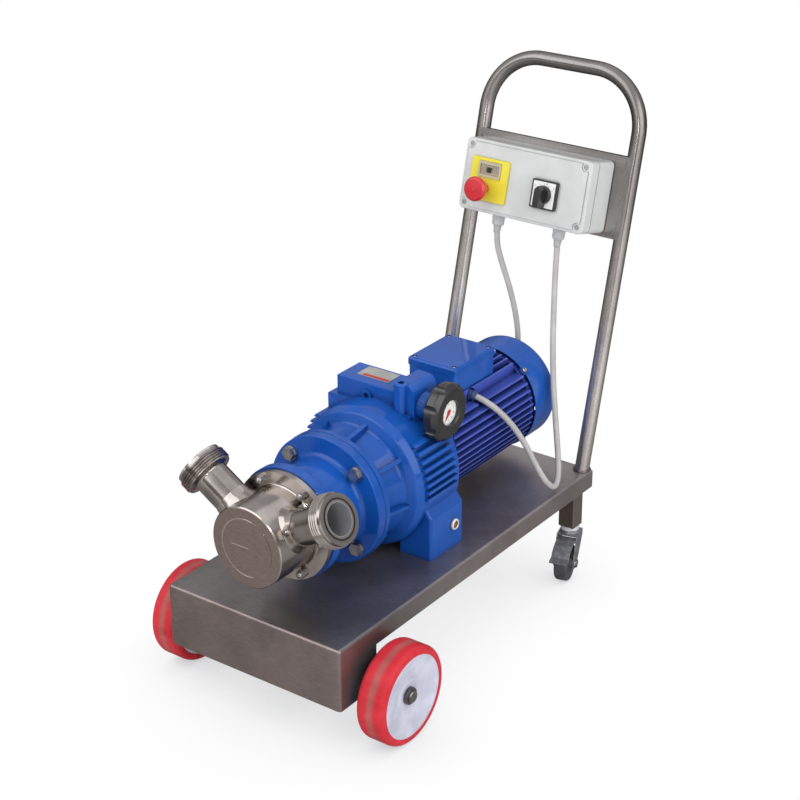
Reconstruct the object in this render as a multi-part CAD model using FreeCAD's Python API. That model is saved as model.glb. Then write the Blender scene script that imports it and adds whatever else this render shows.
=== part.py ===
# Trolley-mounted flexible impeller pump with a stepless speed drive and a switch box.
# All lengths are millimetres. +Z is up, +Y runs from the pump towards the push handle.
# The origin is on the floor below the middle of the trolley.
import FreeCAD, Part
import math
import os

os.makedirs("parts", exist_ok=True)
V = FreeCAD.Vector
X_AXIS = V(1, 0, 0)
Y_AXIS = V(0, 1, 0)
Z_AXIS = V(0, 0, 1)

# General clearances
running_fit = 0.06
thread_fit = 0.05
bolt_clearance = 0.5
free_gap = 0.4

# Trolley deck, a folded stainless sheet
deck_width = 334.0
deck_length = 716.0
deck_top = 186.0
deck_sheet = 2.5
deck_bend = 5.0
front_skirt = 105.0
side_skirt = 32.0
deep_skirt_length = 90.0
mounting_plate_thickness = 6.0
mounting_plate_margin = 24.0

# Front wheels on one fixed axle
wheel_radius = 80.0
wheel_width = 50.0
wheel_setback = 98.0
wheel_to_skirt = 12.0
tyre_thickness = 12.5
tyre_shoulder = 9.0
hub_rim = 7.0
hub_web = 8.0
hub_dish = 9.0
hub_boss_radius = 21.0
hub_rib_count = 6
hub_rib_thickness = 5.0
axle_radius = 10.0
axle_overhang = 10.0
axle_cap_radius = 14.0
axle_cap_length = 6.0
axle_bracket_thickness = 5.0
axle_bracket_front = 40.0
axle_bracket_shoulder = 30.0
axle_bracket_slope = 25.0
axle_bracket_edge = 18.0

# Rear legs and swivel casters
leg_size = 30.0
leg_wall = 2.0
leg_rear_gap = 29.0
caster_height = 93.0
caster_wheel_radius = 32.5
caster_wheel_width = 24.0
caster_trail = 27.0
caster_yaw = 16.0
caster_plate = 2.5
caster_plate_gap = 4.0
caster_ring_height = 7.6
caster_head_radius = 17.0
caster_head_length = 8.0
caster_stem_radius = 6.0
caster_stem_length = 22.0
caster_axle_radius = 4.0
caster_axle_head = 3.5
caster_hub_radius = 8.5
fork_ear_radius = 9.0
brake_pivot_radius = 2.5
brake_pivot_reach = 14.0
brake_pivot_drop = 7.0
brake_gap = 5.0
brake_thickness = 3.5
brake_toe = 14.0

# Push handle, one bent tube that leans back
tube_radius = 12.5
tube_wall = 2.0
handle_side_gap = 4.0
handle_length = 673.0
handle_lean = 14.4
handle_bend = 96.0
crossplate_bottom = 401.0
crossplate_height = 139.0
crossplate_flange = 17.0
crossplate_sheet = 2.5

# Switch box on the handle, measured up the slope of the handle
box_width = 246.0
box_height = 122.0
box_bottom = 407.0
box_base_depth = 51.0
box_lid_depth = 26.0
box_wall = 3.0
box_corner = 9.0
box_edge = 2.5
lid_step = 6.0
lid_screw_inset = 11.0
lid_screw_radius = 4.0
estop_plate_width = 74.0
estop_plate_height = 72.0
estop_plate_inset = 55.5
estop_plate_z = 56.5
estop_plate_thickness = 3.0
starter_width = 44.0
starter_height = 27.0
starter_depth = 38.0
starter_rise = 17.0
button_radius = 21.0
button_stem_radius = 9.0
button_pressed_gap = 7.0
button_head = 21.0
button_travel = 6.0
button_offset = -6.5
button_z = 41.0
button_stem_depth = 30.0
selector_size = 48.0
selector_inset = 78.4
selector_z = 53.0
selector_plate_thickness = 7.0
selector_stem_radius = 4.0
knob_radius = 16.0
knob_base = 6.0
knob_height = 22.0
knob_handle_width = 11.0
knob_tail = 21.0
gland_flats = 22.0
gland_hex = 9.0
gland_nose = 14.0
gland_left_x = -62.0
gland_right_x = 59.0
gland_depth = 37.0

# Cables and the plug of the supply cable, which is stored on the deck
cable_radius = 5.0
coil_x = -94.0
coil_back = 622.0
coil_turn_radius = 55.0
coil_turns = 2.55
coil_layers = 3
plug_x = -134.0
plug_front = 412.0
plug_length = 128.0
plug_radius = 31.0
plug_mouth = 30.0
plug_collar = 18.0
plug_collar_step = 5.0
plug_body_step = 8.0
plug_grip = 100.0
plug_pin_radius = 2.6
plug_pins = 5

# Pump, along its own axis. Lengths run back from the pump nose
axis_height = 120.0
nose_overhang = 3.0
body_radius = 66.0
body_length = 84.0
body_front_wall = 8.0
body_side_wall = 7.0
nose_chamfer = 2.0
front_ring_radius = 47.5
front_ring_width = 1.0
front_ring_depth = 0.6
flange_radius = 88.0
flange_thickness = 8.0
stud_circle = 78.0
stud_count = 6
stud_radius = 4.0
stud_length = 24.0
nut_flats = 13.0
nut_height = 7.5
cam_depth = 9.0
cam_curve = 75.0
back_plate_thickness = 4.0
o_ring_radius = 1.7
o_ring_circle = 68.0
port_angle = 29.8
head_turn = 2.5
port_setback = 48.0
port_bore = 25.0
port_wall = 3.0
port_step = 0.5
port_reach = 155.0
port_collar = 10.0
port_collar_length = 14.0
port_collar_root = 14.0
port_collar_waist = 2.5
port_collar_end = 1.0
union_radius = 41.5
union_length = 24.0
union_flare = 5.0
union_lip = 3.0
union_shoulder = 5.0
union_run_out = 2.0
liner_groove_inner = 4.0
liner_groove_outer = 6.5
liner_groove_depth = 1.5
thread_pitch = 4.2
thread_depth = 2.2
thread_turns = 4
impeller_hub = 21.0
impeller_blades = 6
blade_root = 7.0
blade_neck = 4.5
blade_bulb = 4.6
blade_start_angle = 22.0
shaft_radius = 10.0
seal_radius = 17.0
seal_length = 16.0

# Lantern between the pump and the drive
lantern_length = 106.0
lantern_ring_radius = 91.0
lantern_ring_thickness = 16.0
lantern_neck = 70.0
lantern_wall = 9.0
drive_flange_radius = 106.0
drive_flange_thickness = 16.5
flange_bolt_circle = 90.0
flange_bolt_count = 4
flange_bolt_radius = 6.0
flange_bolt_flats = 19.0
flange_bolt_head = 7.5
washer_radius = 12.0
washer_thickness = 2.0
spot_face_length = 10.0

# Stepless drive
output_flange_thickness = 10.0
neck_length = 62.0
neck_front_radius = 80.0
neck_rear_radius = 94.0
neck_rib_count = 8
neck_rib_thickness = 7.0
neck_rib_angle = -10.0
drive_face_radius = 112.0
drive_radius = 118.0
drive_length = 123.0
drive_rounding = 12.0
output_shaft_depth = 45.0
input_shaft_depth = 24.0
rear_step_radius = 104.0
rear_step = 8.0
fin_count = 8
fin_pitch = 12.4
fin_thickness = 5.0
fin_height = 7.0
fin_bottom = -9.0
fin_front = 14.0
fin_length = 80.0
foot_outer = 124.0
foot_width = 60.0
foot_front = 21.0
foot_length = 88.0
foot_height = 88.0
foot_shoulder = 14.0
foot_crown = 4.0
foot_root = 20.0
foot_drop = 30.0
foot_bolt_radius = 5.0
foot_bolt_flats = 16.0
foot_bolt_head = 6.5
foot_bolt_inset = 18.0
foot_bolt_length = 26.0
oil_plug_radius = 9.0
oil_plug_height = 4.0
oil_plug_setback = 62.0
oil_plug_rise = 41.0

# Speed control on top of the drive
control_left = -83.0
control_right = 37.0
control_front = 54.0
control_depth = 57.0
control_height = 139.0
plinth_step = 13.0
plinth_height = 107.0
plinth_overhang = 7.0
plinth_setback = 4.0
bearing_left = 30.0
bearing_right = 68.0
bearing_height = 154.0
bearing_round = 16.0
pillar_x = 42.0
pillar_radius = 12.0
pillar_height = 156.0
pillar_socket = 5.0
shaft_boss_root = 24.0
shaft_boss_waist = 20.0
shaft_boss_nose = 14.0
shaft_boss_step = 10.0
shaft_boss_gap = 2.0
front_boss_radius = 10.0
front_boss_height = 3.0
front_boss_rise = 118.0
front_boss_socket = 4.5
control_axis_rise = 113.9
control_shaft_radius = 8.0
control_shaft_left = -40.0
handwheel_radius = 47.0
handwheel_thickness = 31.0
handwheel_gap = 21.0
handwheel_room = 1.5
handwheel_lobes = 8
lobe_cut = 8.0
lobe_cut_depth = 5.0
pocket_radius = 21.0
pocket_depth = 9.0
dial_thickness = 2.0
pointer_pin_radius = 1.5
pointer_length = 14.0
pointer_tail = 5.0
pointer_half = 3.0
pointer_tip = 0.4
pointer_thickness = 1.2
pointer_rest = 140.0

# Motor
motor_flange_radius = 96.0
motor_flange_thickness = 12.0
front_shield_length = 21.0
frame_length = 225.0
frame_core = 73.0
frame_envelope = 89.0
frame_bore = 46.5
frame_fin_pitch = 11.5
frame_fin_thickness = 3.0
frame_fin_count = 11
rear_shield_length = 14.0
rear_shield_radius = 84.0
rotor_radius = 46.0
rotor_length = 150.0
motor_shaft_radius = 12.0
fan_radius = 76.0
fan_hub = 18.0
fan_gap = 8.0
fan_width = 26.0
fan_blades = 8
fan_blade_thickness = 3.0
cover_radius = 91.0
cover_sheet = 1.5
cover_length = 66.0
cover_overlap = 9.0
cover_round = 12.0
cover_slots = 20
cover_slot_width = 6.0
cover_lug_half = 7.0
terminal_width = 94.0
terminal_offset = -5.0
terminal_front = 60.0
terminal_length = 115.0
terminal_top = 110.0
terminal_bottom = 46.0
terminal_wall = 4.0
terminal_lid_height = 13.0
terminal_lid_overhang = 1.5
terminal_round = 6.0
terminal_screw_inset = 8.0
terminal_screw_radius = 4.0
terminal_screw_depth = 3.0
terminal_gland_rise = 66.0
terminal_gland_setback = 37.0
terminal_gland_flats = 17.0
terminal_gland_length = 17.0

# Places that follow from the sizes above
lean = math.radians(handle_lean)
handle_spacing = deck_width - 2 * (handle_side_gap + tube_radius)
estop_plate_x = estop_plate_inset - box_width / 2
button_x = estop_plate_x + button_offset
selector_x = box_width / 2 - selector_inset
button_standoff = button_travel + button_pressed_gap
foot_inset = tube_radius
handle_reach = deck_length - foot_inset + handle_length * math.sin(lean) + tube_radius
deck_front = (nose_overhang - handle_reach) / 2
deck_rear = deck_front + deck_length
deck_under = deck_top - deck_sheet
axis_z = deck_top + axis_height
nose_y = deck_front - nose_overhang
flange_y = nose_y + body_length
back_plate_y = flange_y + flange_thickness
lantern_y = back_plate_y + back_plate_thickness
output_flange_y = lantern_y + lantern_length
neck_y = output_flange_y + output_flange_thickness
drive_y = neck_y + neck_length
motor_y = drive_y + drive_length
frame_y = motor_y + front_shield_length
rear_shield_y = frame_y + frame_length
cover_y = rear_shield_y + rear_shield_length - cover_overlap
chamber_radius = body_radius - body_side_wall
chamber_length = body_length + flange_thickness - body_front_wall
port_y = nose_y + port_setback
wheel_y = deck_front + wheel_setback
wheel_x = deck_width / 2 + wheel_to_skirt + wheel_width / 2
hub_radius = wheel_radius - tyre_thickness
leg_x = deck_width / 2 - deck_sheet - leg_size / 2
leg_y = deck_rear - leg_rear_gap - leg_size / 2
handle_foot = V(0, deck_rear - foot_inset, deck_top)
box_back = -tube_radius
box_split = box_back - box_base_depth
box_front = box_split - box_lid_depth
control_y = drive_y + control_front
control_axis_y = control_y + control_depth / 2
control_axis_z = axis_z + control_axis_rise
handwheel_back = bearing_right + handwheel_gap
handwheel_face = handwheel_back + handwheel_thickness
terminal_y = frame_y + terminal_front
terminal_gland_y = terminal_y + terminal_gland_setback
terminal_gland_z = axis_z + terminal_gland_rise
terminal_side = terminal_offset + terminal_width / 2
gland_length = gland_hex + gland_nose
small = 0.01
far = 1000.0


def box(x0, x1, y0, y1, z0, z1):
    """Block between two corners."""
    return Part.makeBox(x1 - x0, y1 - y0, z1 - z0, V(x0, y0, z0))


def rod(start, direction, radius, length):
    """Cylinder from a start point along a direction."""
    return Part.makeCylinder(radius, length, start, direction)


def outline(points):
    """Closed wire in the XZ plane. Each point is (x, z) or (x, z, corner radius)."""
    count = len(points)
    entries = []
    exits = []
    middles = []
    for i in range(count):
        here = V(points[i][0], 0, points[i][1])
        radius = points[i][2] if len(points[i]) > 2 else 0
        if radius == 0:
            entries.append(here)
            exits.append(here)
            middles.append(None)
            continue
        before = points[i - 1]
        after = points[(i + 1) % count]
        back = (V(before[0], 0, before[1]) - here).normalize()
        ahead = (V(after[0], 0, after[1]) - here).normalize()
        half = math.acos(max(-1.0, min(1.0, back.dot(ahead)))) / 2
        reach = radius / math.tan(half)
        bisector = (back + ahead).normalize()
        entries.append(here + back * reach)
        exits.append(here + ahead * reach)
        middles.append(here + bisector * (radius / math.sin(half) - radius))
    edges = []
    for i in range(count):
        if middles[i] is not None:
            edges.append(Part.Arc(entries[i], middles[i], exits[i]).toShape())
        following = entries[(i + 1) % count]
        if (following - exits[i]).Length > 1e-6:
            edges.append(Part.LineSegment(exits[i], following).toShape())
    return Part.Wire(edges)


def turned(points, start, axis):
    """Solid of revolution. Points are (radius, distance along the axis, corner radius)."""
    face = Part.Face(outline(points))
    solid = face.revolve(V(0, 0, 0), Z_AXIS, 360)
    solid.Placement = FreeCAD.Placement(start, FreeCAD.Rotation(Z_AXIS, axis))
    return solid


def prism(points, y0, y1):
    """Outline in the XZ plane, extruded from y0 to y1."""
    face = Part.Face(outline(points))
    face.translate(V(0, y0, 0))
    return face.extrude(V(0, y1 - y0, 0))


def side_prism(points, x0, x1):
    """Outline given as (y, z, corner radius), extruded from x0 to x1."""
    solid = prism([(p[0], p[1]) + tuple(p[2:]) for p in points], -x1, -x0)
    solid.rotate(V(0, 0, 0), Z_AXIS, 90)
    return solid


def rounded_block(x0, x1, z0, z1, y0, y1, corner):
    """Block along Y with rounded corners in the XZ plane."""
    points = [(x0, z0, corner), (x1, z0, corner), (x1, z1, corner), (x0, z1, corner)]
    return prism(points, y0, y1)


def hexagon(start, direction, flats, height):
    """Hexagonal prism, given its width across flats."""
    reach = flats / math.sqrt(3)
    points = [
        (reach * math.cos(math.radians(60 * i)), reach * math.sin(math.radians(60 * i)))
        for i in range(6)
    ]
    solid = prism(points, 0, height)
    solid.Placement = FreeCAD.Placement(start, FreeCAD.Rotation(Y_AXIS, direction))
    return solid


def around_axis(angle, radius, y):
    """Point on a circle about the pump axis. The angle is measured up from +X."""
    a = math.radians(angle)
    return V(radius * math.cos(a), y, axis_z + radius * math.sin(a))


def turned_about_pump(shape, angle):
    """Copy of a shape, turned about the pump axis."""
    copy = shape.copy()
    copy.rotate(V(0, 0, axis_z), Y_AXIS, -angle)
    return copy


def mirrored(shape):
    """Left-hand twin of a right-hand shape."""
    return shape.mirror(V(0, 0, 0), X_AXIS)


def on_handle(shape):
    """Move a shape from the upright handle frame on to the leaning handle.

    In that frame the tube plane is y = 0, z is the distance up the slope,
    and the front of the switch box faces -Y.
    """
    copy = shape.copy()
    copy.rotate(V(0, 0, 0), X_AXIS, -handle_lean)
    copy.translate(handle_foot)
    return copy


def joined(first, *others):
    """One solid made of overlapping solids."""
    solid = first.fuse(list(others))
    return solid.removeSplitter()


def save(name, *solids):
    """Write one node. Several solids stay separate solids of that node."""
    for solid in solids:
        for piece in solid.Solids:
            if not piece.isValid():
                print("not valid:", name)
        if len(solid.Solids) != 1:
            print("solids in one piece:", name, len(solid.Solids))
    shape = Part.makeCompound([piece for solid in solids for piece in solid.Solids])
    if len(shape.Solids) == 1:
        shape = shape.Solids[0]
    shape.exportStep("parts/" + name + ".step")
    low = shape.BoundBox
    print(f"{name}: {len(shape.Solids)} solid, {low.XLength:.1f} x {low.YLength:.1f} x {low.ZLength:.1f}")


# Trolley deck and what is welded to it
def bent_tray(inset, radius):
    """Closed block of the tray's outside, moved in by a wall thickness."""
    half = deck_width / 2 - inset
    top = deck_top - inset
    bottom = deck_top - front_skirt
    block = box(-half, half, deck_front + inset, deck_rear - inset, bottom, top)
    edges = []
    for edge in block.Edges:
        centre = edge.BoundBox.Center
        upright = edge.BoundBox.ZLength > 1
        if upright or centre.z > top - small:
            edges.append(edge)
    return block.makeFillet(radius, edges)


def foot_bolt_places():
    """Centres of the four bolts that hold the drive's feet."""
    places = []
    for side in (-1, 1):
        x = side * (foot_outer - foot_width / 2)
        for y in (foot_bolt_inset, foot_length - foot_bolt_inset):
            places.append((x, drive_y + foot_front + y))
    return places


def make_deck():
    tray = bent_tray(0, deck_bend).cut(bent_tray(deck_sheet, deck_bend - deck_sheet))
    low = deck_top - front_skirt
    half = deck_width / 2
    tray = tray.cut(box(-half + deck_sheet, half - deck_sheet, deck_front + deck_sheet,
                        deck_rear - deck_sheet, low - 1, low + 1))
    cut_front = deck_front + deep_skirt_length
    skirt_bottom = deck_top - side_skirt
    tray = tray.cut(box(-half - 1, half + 1, cut_front, deck_rear + 1, low - 1, skirt_bottom))
    notch = rod(V(-half - 1, wheel_y, wheel_radius), X_AXIS, axle_radius + free_gap, deck_width + 2)
    tray = tray.cut(notch)
    for x, y in foot_bolt_places():
        hole = rod(V(x, y, deck_under - 1), Z_AXIS, foot_bolt_radius + bolt_clearance, deck_sheet + 2)
        tray = tray.cut(hole)
    return tray


def fold_room(y0, y1):
    """Corner that the inside radius of the deck's right fold takes up."""
    edge = deck_width / 2 - deck_sheet
    radius = deck_bend - deck_sheet
    return prism([(edge - radius, deck_under), (edge, deck_under - radius), (edge + 1, deck_under - radius),
                  (edge + 1, deck_under + 1), (edge - radius, deck_under + 1)], y0, y1)


def make_deck_brackets():
    half = deck_width / 2 - deck_sheet
    y0 = deck_front + axle_bracket_front
    y1 = deck_front + deep_skirt_length
    bottom = wheel_radius - axle_bracket_edge
    shoulder = wheel_radius + axle_bracket_shoulder
    profile = [(y0, deck_under), (y0, shoulder), (wheel_y - axle_bracket_edge, bottom, 8),
               (wheel_y + axle_bracket_edge, bottom, 8), (wheel_y + axle_bracket_edge, shoulder, 8),
               (y1, shoulder + axle_bracket_slope), (y1, deck_under)]
    plate = side_prism(profile, half - axle_bracket_thickness, half)
    hole = rod(V(0, wheel_y, wheel_radius), X_AXIS, axle_radius + thread_fit, far)
    right = plate.cut(hole).cut(fold_room(y0 - 1, y1 + 1))
    places = foot_bolt_places()
    xs = [p[0] for p in places]
    ys = [p[1] for p in places]
    reinforcement = box(min(xs) - mounting_plate_margin, max(xs) + mounting_plate_margin,
                        min(ys) - mounting_plate_margin, max(ys) + mounting_plate_margin,
                        deck_under - mounting_plate_thickness, deck_under)
    for x, y in places:
        drill = rod(V(x, y, 0), Z_AXIS, foot_bolt_radius + bolt_clearance, deck_top)
        reinforcement = reinforcement.cut(drill)
    return right, mirrored(right), reinforcement


def make_rear_legs():
    top = deck_under
    half = leg_size / 2
    outer = box(leg_x - half, leg_x + half, leg_y - half, leg_y + half, caster_height, top)
    edges = [e for e in outer.Edges if e.BoundBox.ZLength > leg_size]
    outer = outer.makeFillet(leg_wall, edges)
    inner_half = half - leg_wall
    inner = box(leg_x - inner_half, leg_x + inner_half, leg_y - inner_half, leg_y + inner_half,
                caster_height + 2 * leg_wall, top - leg_wall)
    hole = rod(V(leg_x, leg_y, caster_height - 1), Z_AXIS, caster_stem_radius + thread_fit, 3 * leg_wall)
    leg = outer.cut(inner).cut(hole).cut(fold_room(leg_y - leg_size, leg_y + leg_size))
    return leg, mirrored(leg)


# Front wheels, built about their own mid-plane with the outside towards +X
def make_front_axle():
    half = wheel_x + wheel_width / 2 - hub_dish + axle_overhang
    chamfer = axle_radius / 8
    profile = [(0, -half), (axle_radius - chamfer, -half), (axle_radius, -half + chamfer),
               (axle_radius, half - chamfer), (axle_radius - chamfer, half), (0, half)]
    return turned(profile, V(0, wheel_y, wheel_radius), X_AXIS)


def make_tyre():
    half = wheel_width / 2
    profile = [(hub_radius, -half), (wheel_radius, -half, tyre_shoulder),
               (wheel_radius, half, tyre_shoulder), (hub_radius, half)]
    return turned(profile, V(wheel_x, wheel_y, wheel_radius), X_AXIS)


def make_wheel_hub():
    half = wheel_width / 2
    rim = half - 1
    boss_out = half - hub_dish
    boss_in = -(wheel_x - deck_width / 2 - 1)
    web_out = boss_out - 1.5
    web_in = web_out - hub_web
    rim_inner = hub_radius - hub_rim
    bore = axle_radius + running_fit
    profile = [(bore, boss_in), (hub_boss_radius - 3, boss_in, 1.5), (hub_boss_radius, web_in, 4),
               (rim_inner, web_in, 4), (rim_inner, -rim), (hub_radius, -rim), (hub_radius, rim),
               (rim_inner + 2, rim, 1.5), (hub_boss_radius + 4, web_out, 6),
               (hub_boss_radius, boss_out, 2), (bore, boss_out)]
    hub = turned(profile, V(wheel_x, wheel_y, wheel_radius), X_AXIS)
    ribs = []
    for i in range(hub_rib_count):
        rib = box(wheel_x - rim + 3, wheel_x + web_in + 1, wheel_y - hub_rib_thickness / 2,
                  wheel_y + hub_rib_thickness / 2, wheel_radius + hub_boss_radius - 2,
                  wheel_radius + rim_inner + 1)
        rib.rotate(V(wheel_x, wheel_y, wheel_radius), X_AXIS, i * 360.0 / hub_rib_count)
        ribs.append(rib)
    return joined(hub, *ribs)


def make_axle_cap():
    start = wheel_x + wheel_width / 2 - hub_dish + free_gap
    inner = axle_radius + thread_fit
    profile = [(inner, 0), (axle_cap_radius, 0), (axle_cap_radius, axle_cap_length, 2),
               (inner, axle_cap_length)]
    return turned(profile, V(start, wheel_y, wheel_radius), X_AXIS)


# Swivel casters. The kingpin is at the origin and the wheel trails towards -Y
crown_bottom = caster_height - caster_head_length - free_gap - caster_ring_height
fork_half = caster_wheel_width / 2 + caster_plate_gap


def place_caster(shape):
    """Right-hand caster at rest: turned by its yaw and set under the right leg."""
    copy = shape.copy()
    copy.rotate(V(0, 0, 0), Z_AXIS, caster_yaw)
    copy.translate(V(leg_x, leg_y, 0))
    return copy


def place_left_caster(shape):
    """Left-hand caster, with the same yaw."""
    copy = place_caster(shape)
    copy.translate(V(-2 * leg_x, 0, 0))
    return copy


def make_caster_head():
    top = caster_height
    profile = [(0, top - caster_head_length), (caster_head_radius, top - caster_head_length, 2),
               (caster_head_radius - 2, top - 1, 1), (caster_head_radius - 3, top),
               (caster_stem_radius, top), (caster_stem_radius, top + caster_stem_length),
               (0, top + caster_stem_length)]
    return turned(profile, V(0, 0, 0), Z_AXIS)


def make_caster_fork():
    ring_top = caster_height - caster_head_length - free_gap
    crown_top = crown_bottom + caster_plate
    outer = fork_half + caster_plate
    axle_z = caster_wheel_radius
    half = caster_head_radius
    side_profile = [(-half, crown_top), (-caster_trail - fork_ear_radius, axle_z + 2, 6),
                    (-caster_trail - fork_ear_radius, axle_z - fork_ear_radius, 6),
                    (-caster_trail + fork_ear_radius, axle_z - fork_ear_radius, 6),
                    (half, crown_bottom - 8, 6), (half, crown_top)]
    right = side_prism(side_profile, fork_half, outer)
    left = side_prism(side_profile, -outer, -fork_half)
    crown = box(-outer, outer, -half, half, crown_bottom, crown_top)
    ring = turned([(0, crown_bottom), (half, crown_bottom), (half, crown_top + 2, 2),
                   (half - 2, ring_top, 1), (0, ring_top)], V(0, 0, 0), Z_AXIS)
    fork = joined(crown, right, left, ring)
    axle_hole = rod(V(-far / 2, -caster_trail, axle_z), X_AXIS, caster_axle_radius + thread_fit, far)
    pivot_hole = rod(V(-far / 2, -brake_pivot_reach, crown_bottom - brake_pivot_drop), X_AXIS,
                     brake_pivot_radius + running_fit, far)
    return fork.cut(axle_hole).cut(pivot_hole)


def make_caster_axle():
    outer = fork_half + caster_plate
    head = caster_axle_head
    centre = V(-outer - head, -caster_trail, caster_wheel_radius)
    bolt = rod(centre, X_AXIS, caster_axle_radius, 2 * (outer + head))
    left_head = hexagon(centre, X_AXIS, nut_flats, head)
    right_head = hexagon(V(outer, centre.y, centre.z), X_AXIS, nut_flats, head)
    return joined(bolt, left_head, right_head)


def make_caster_wheel():
    half = caster_wheel_width / 2
    boss = fork_half - free_gap
    bore = caster_axle_radius + running_fit
    tread = caster_wheel_radius
    profile = [(bore, -boss), (caster_hub_radius, -boss), (caster_hub_radius + 1, -half + 4, 2),
               (tread - 9, -half + 3, 2), (tread - 7, -half, 1), (tread, -half, 5), (tread, half, 5),
               (tread - 7, half, 1), (tread - 9, half - 3, 2), (caster_hub_radius + 1, half - 4, 2),
               (caster_hub_radius, boss), (bore, boss)]
    return turned(profile, V(0, -caster_trail, caster_wheel_radius), X_AXIS)


def make_brake_pedal():
    """Foot pedal that presses a curved shoe on the tread."""
    pivot_y = -brake_pivot_reach
    pivot_z = crown_bottom - brake_pivot_drop
    inner = caster_wheel_radius + brake_gap
    outer = inner + brake_thickness
    half = fork_half - free_gap

    def on_arc(radius, angle):
        a = math.radians(angle)
        return (-caster_trail + radius * math.cos(a), caster_wheel_radius + radius * math.sin(a))

    # the shoe runs over the wheel, from above the axle to the front, and ends in the toe plate
    points = [V(0, *on_arc(inner, angle)) for angle in (78, 120, 152)]
    inner_arc = Part.Arc(*points).toShape()
    points = [V(0, *on_arc(outer, angle)) for angle in (152, 120, 78)]
    outer_arc = Part.Arc(*points).toShape()
    ends = (inner_arc, outer_arc)
    close_a = Part.LineSegment(ends[0].Vertexes[-1].Point, ends[1].Vertexes[0].Point).toShape()
    close_b = Part.LineSegment(ends[1].Vertexes[-1].Point, ends[0].Vertexes[0].Point).toShape()
    shoe = Part.Face(Part.Wire([inner_arc, close_a, outer_arc, close_b])).extrude(V(2 * half, 0, 0))
    shoe.translate(V(-half, 0, 0))
    toe_start = on_arc(inner + brake_thickness / 2, 146)
    toe = side_prism([(toe_start[0] - brake_toe, toe_start[1] - 3), (toe_start[0] + 2, toe_start[1] - 2),
                      (toe_start[0] + 2, toe_start[1] + 2), (toe_start[0] - brake_toe, toe_start[1] + 1)],
                     -half, half)
    eye = rod(V(-half, pivot_y, pivot_z), X_AXIS, brake_pivot_radius + 1.5, 2 * half)
    pin = rod(V(-fork_half - caster_plate, pivot_y, pivot_z), X_AXIS, brake_pivot_radius,
              2 * (fork_half + caster_plate))
    web_end = on_arc(outer - 1, 84)
    web = side_prism([(pivot_y - 3, pivot_z - 3), (pivot_y + 2, pivot_z + 3),
                      (web_end[0] - 8, web_end[1] + 1), (web_end[0] - 8, web_end[1] - 2)], -half, half)
    return joined(eye, pin, web, shoe, toe)


# Push handle
def handle_path(start):
    """Centre line of the handle tube in its own upright plane."""
    half = handle_spacing / 2
    top = handle_length
    bend = handle_bend
    turn = bend * (1 - math.sqrt(0.5))
    lines = [
        Part.LineSegment(V(-half, 0, start), V(-half, 0, top - bend)),
        Part.Arc(V(-half, 0, top - bend), V(-half + turn, 0, top - turn), V(-half + bend, 0, top)),
        Part.LineSegment(V(-half + bend, 0, top), V(half - bend, 0, top)),
        Part.Arc(V(half - bend, 0, top), V(half - turn, 0, top - turn), V(half, 0, top - bend)),
        Part.LineSegment(V(half, 0, top - bend), V(half, 0, start)),
    ]
    return Part.Wire([line.toShape() for line in lines])


def handle_solid(radius):
    """Solid rod along the handle's centre line, a little longer than the handle."""
    start = -2 * tube_radius
    section = Part.Wire(Part.makeCircle(radius, V(-handle_spacing / 2, 0, start), Z_AXIS))
    return handle_path(start).makePipeShell([section], True, True)


def make_handle_frame():
    tube = handle_solid(tube_radius).cut(handle_solid(tube_radius - tube_wall))
    below = box(-far, far, -far, far, -far, deck_top)
    return on_handle(tube).cut(below)


def make_crossplate():
    half = handle_spacing / 2
    front = box_back
    rear = front + crossplate_sheet
    top = crossplate_bottom + crossplate_height
    profile = [(front, crossplate_bottom), (front + crossplate_flange, crossplate_bottom),
               (front + crossplate_flange, crossplate_bottom + crossplate_sheet),
               (rear, crossplate_bottom + crossplate_sheet, 2), (rear, top - crossplate_sheet, 2),
               (front + crossplate_flange, top - crossplate_sheet), (front + crossplate_flange, top),
               (front, top)]
    plate = side_prism(profile, -half, half)
    return on_handle(plate.cut(handle_solid(tube_radius)))


# Switch box in the upright handle frame
def make_enclosure_base():
    half = box_width / 2
    top = box_bottom + box_height
    outer = rounded_block(-half, half, box_bottom, top, box_split, box_back, box_corner)
    outer = outer.makeFillet(box_edge, [e for e in outer.Edges if e.BoundBox.YMin > box_back - small])
    inner = rounded_block(-half + box_wall, half - box_wall, box_bottom + box_wall, top - box_wall,
                          box_split - 1, box_back - box_wall, box_corner - box_wall)
    return on_handle(outer.cut(inner))


def lid_screw_places():
    """Corners of the lid, as (x, distance up the slope)."""
    x = box_width / 2 - lid_screw_inset
    low = box_bottom + lid_screw_inset
    high = box_bottom + box_height - lid_screw_inset
    return [(-x, low), (x, low), (-x, high), (x, high)]


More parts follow.
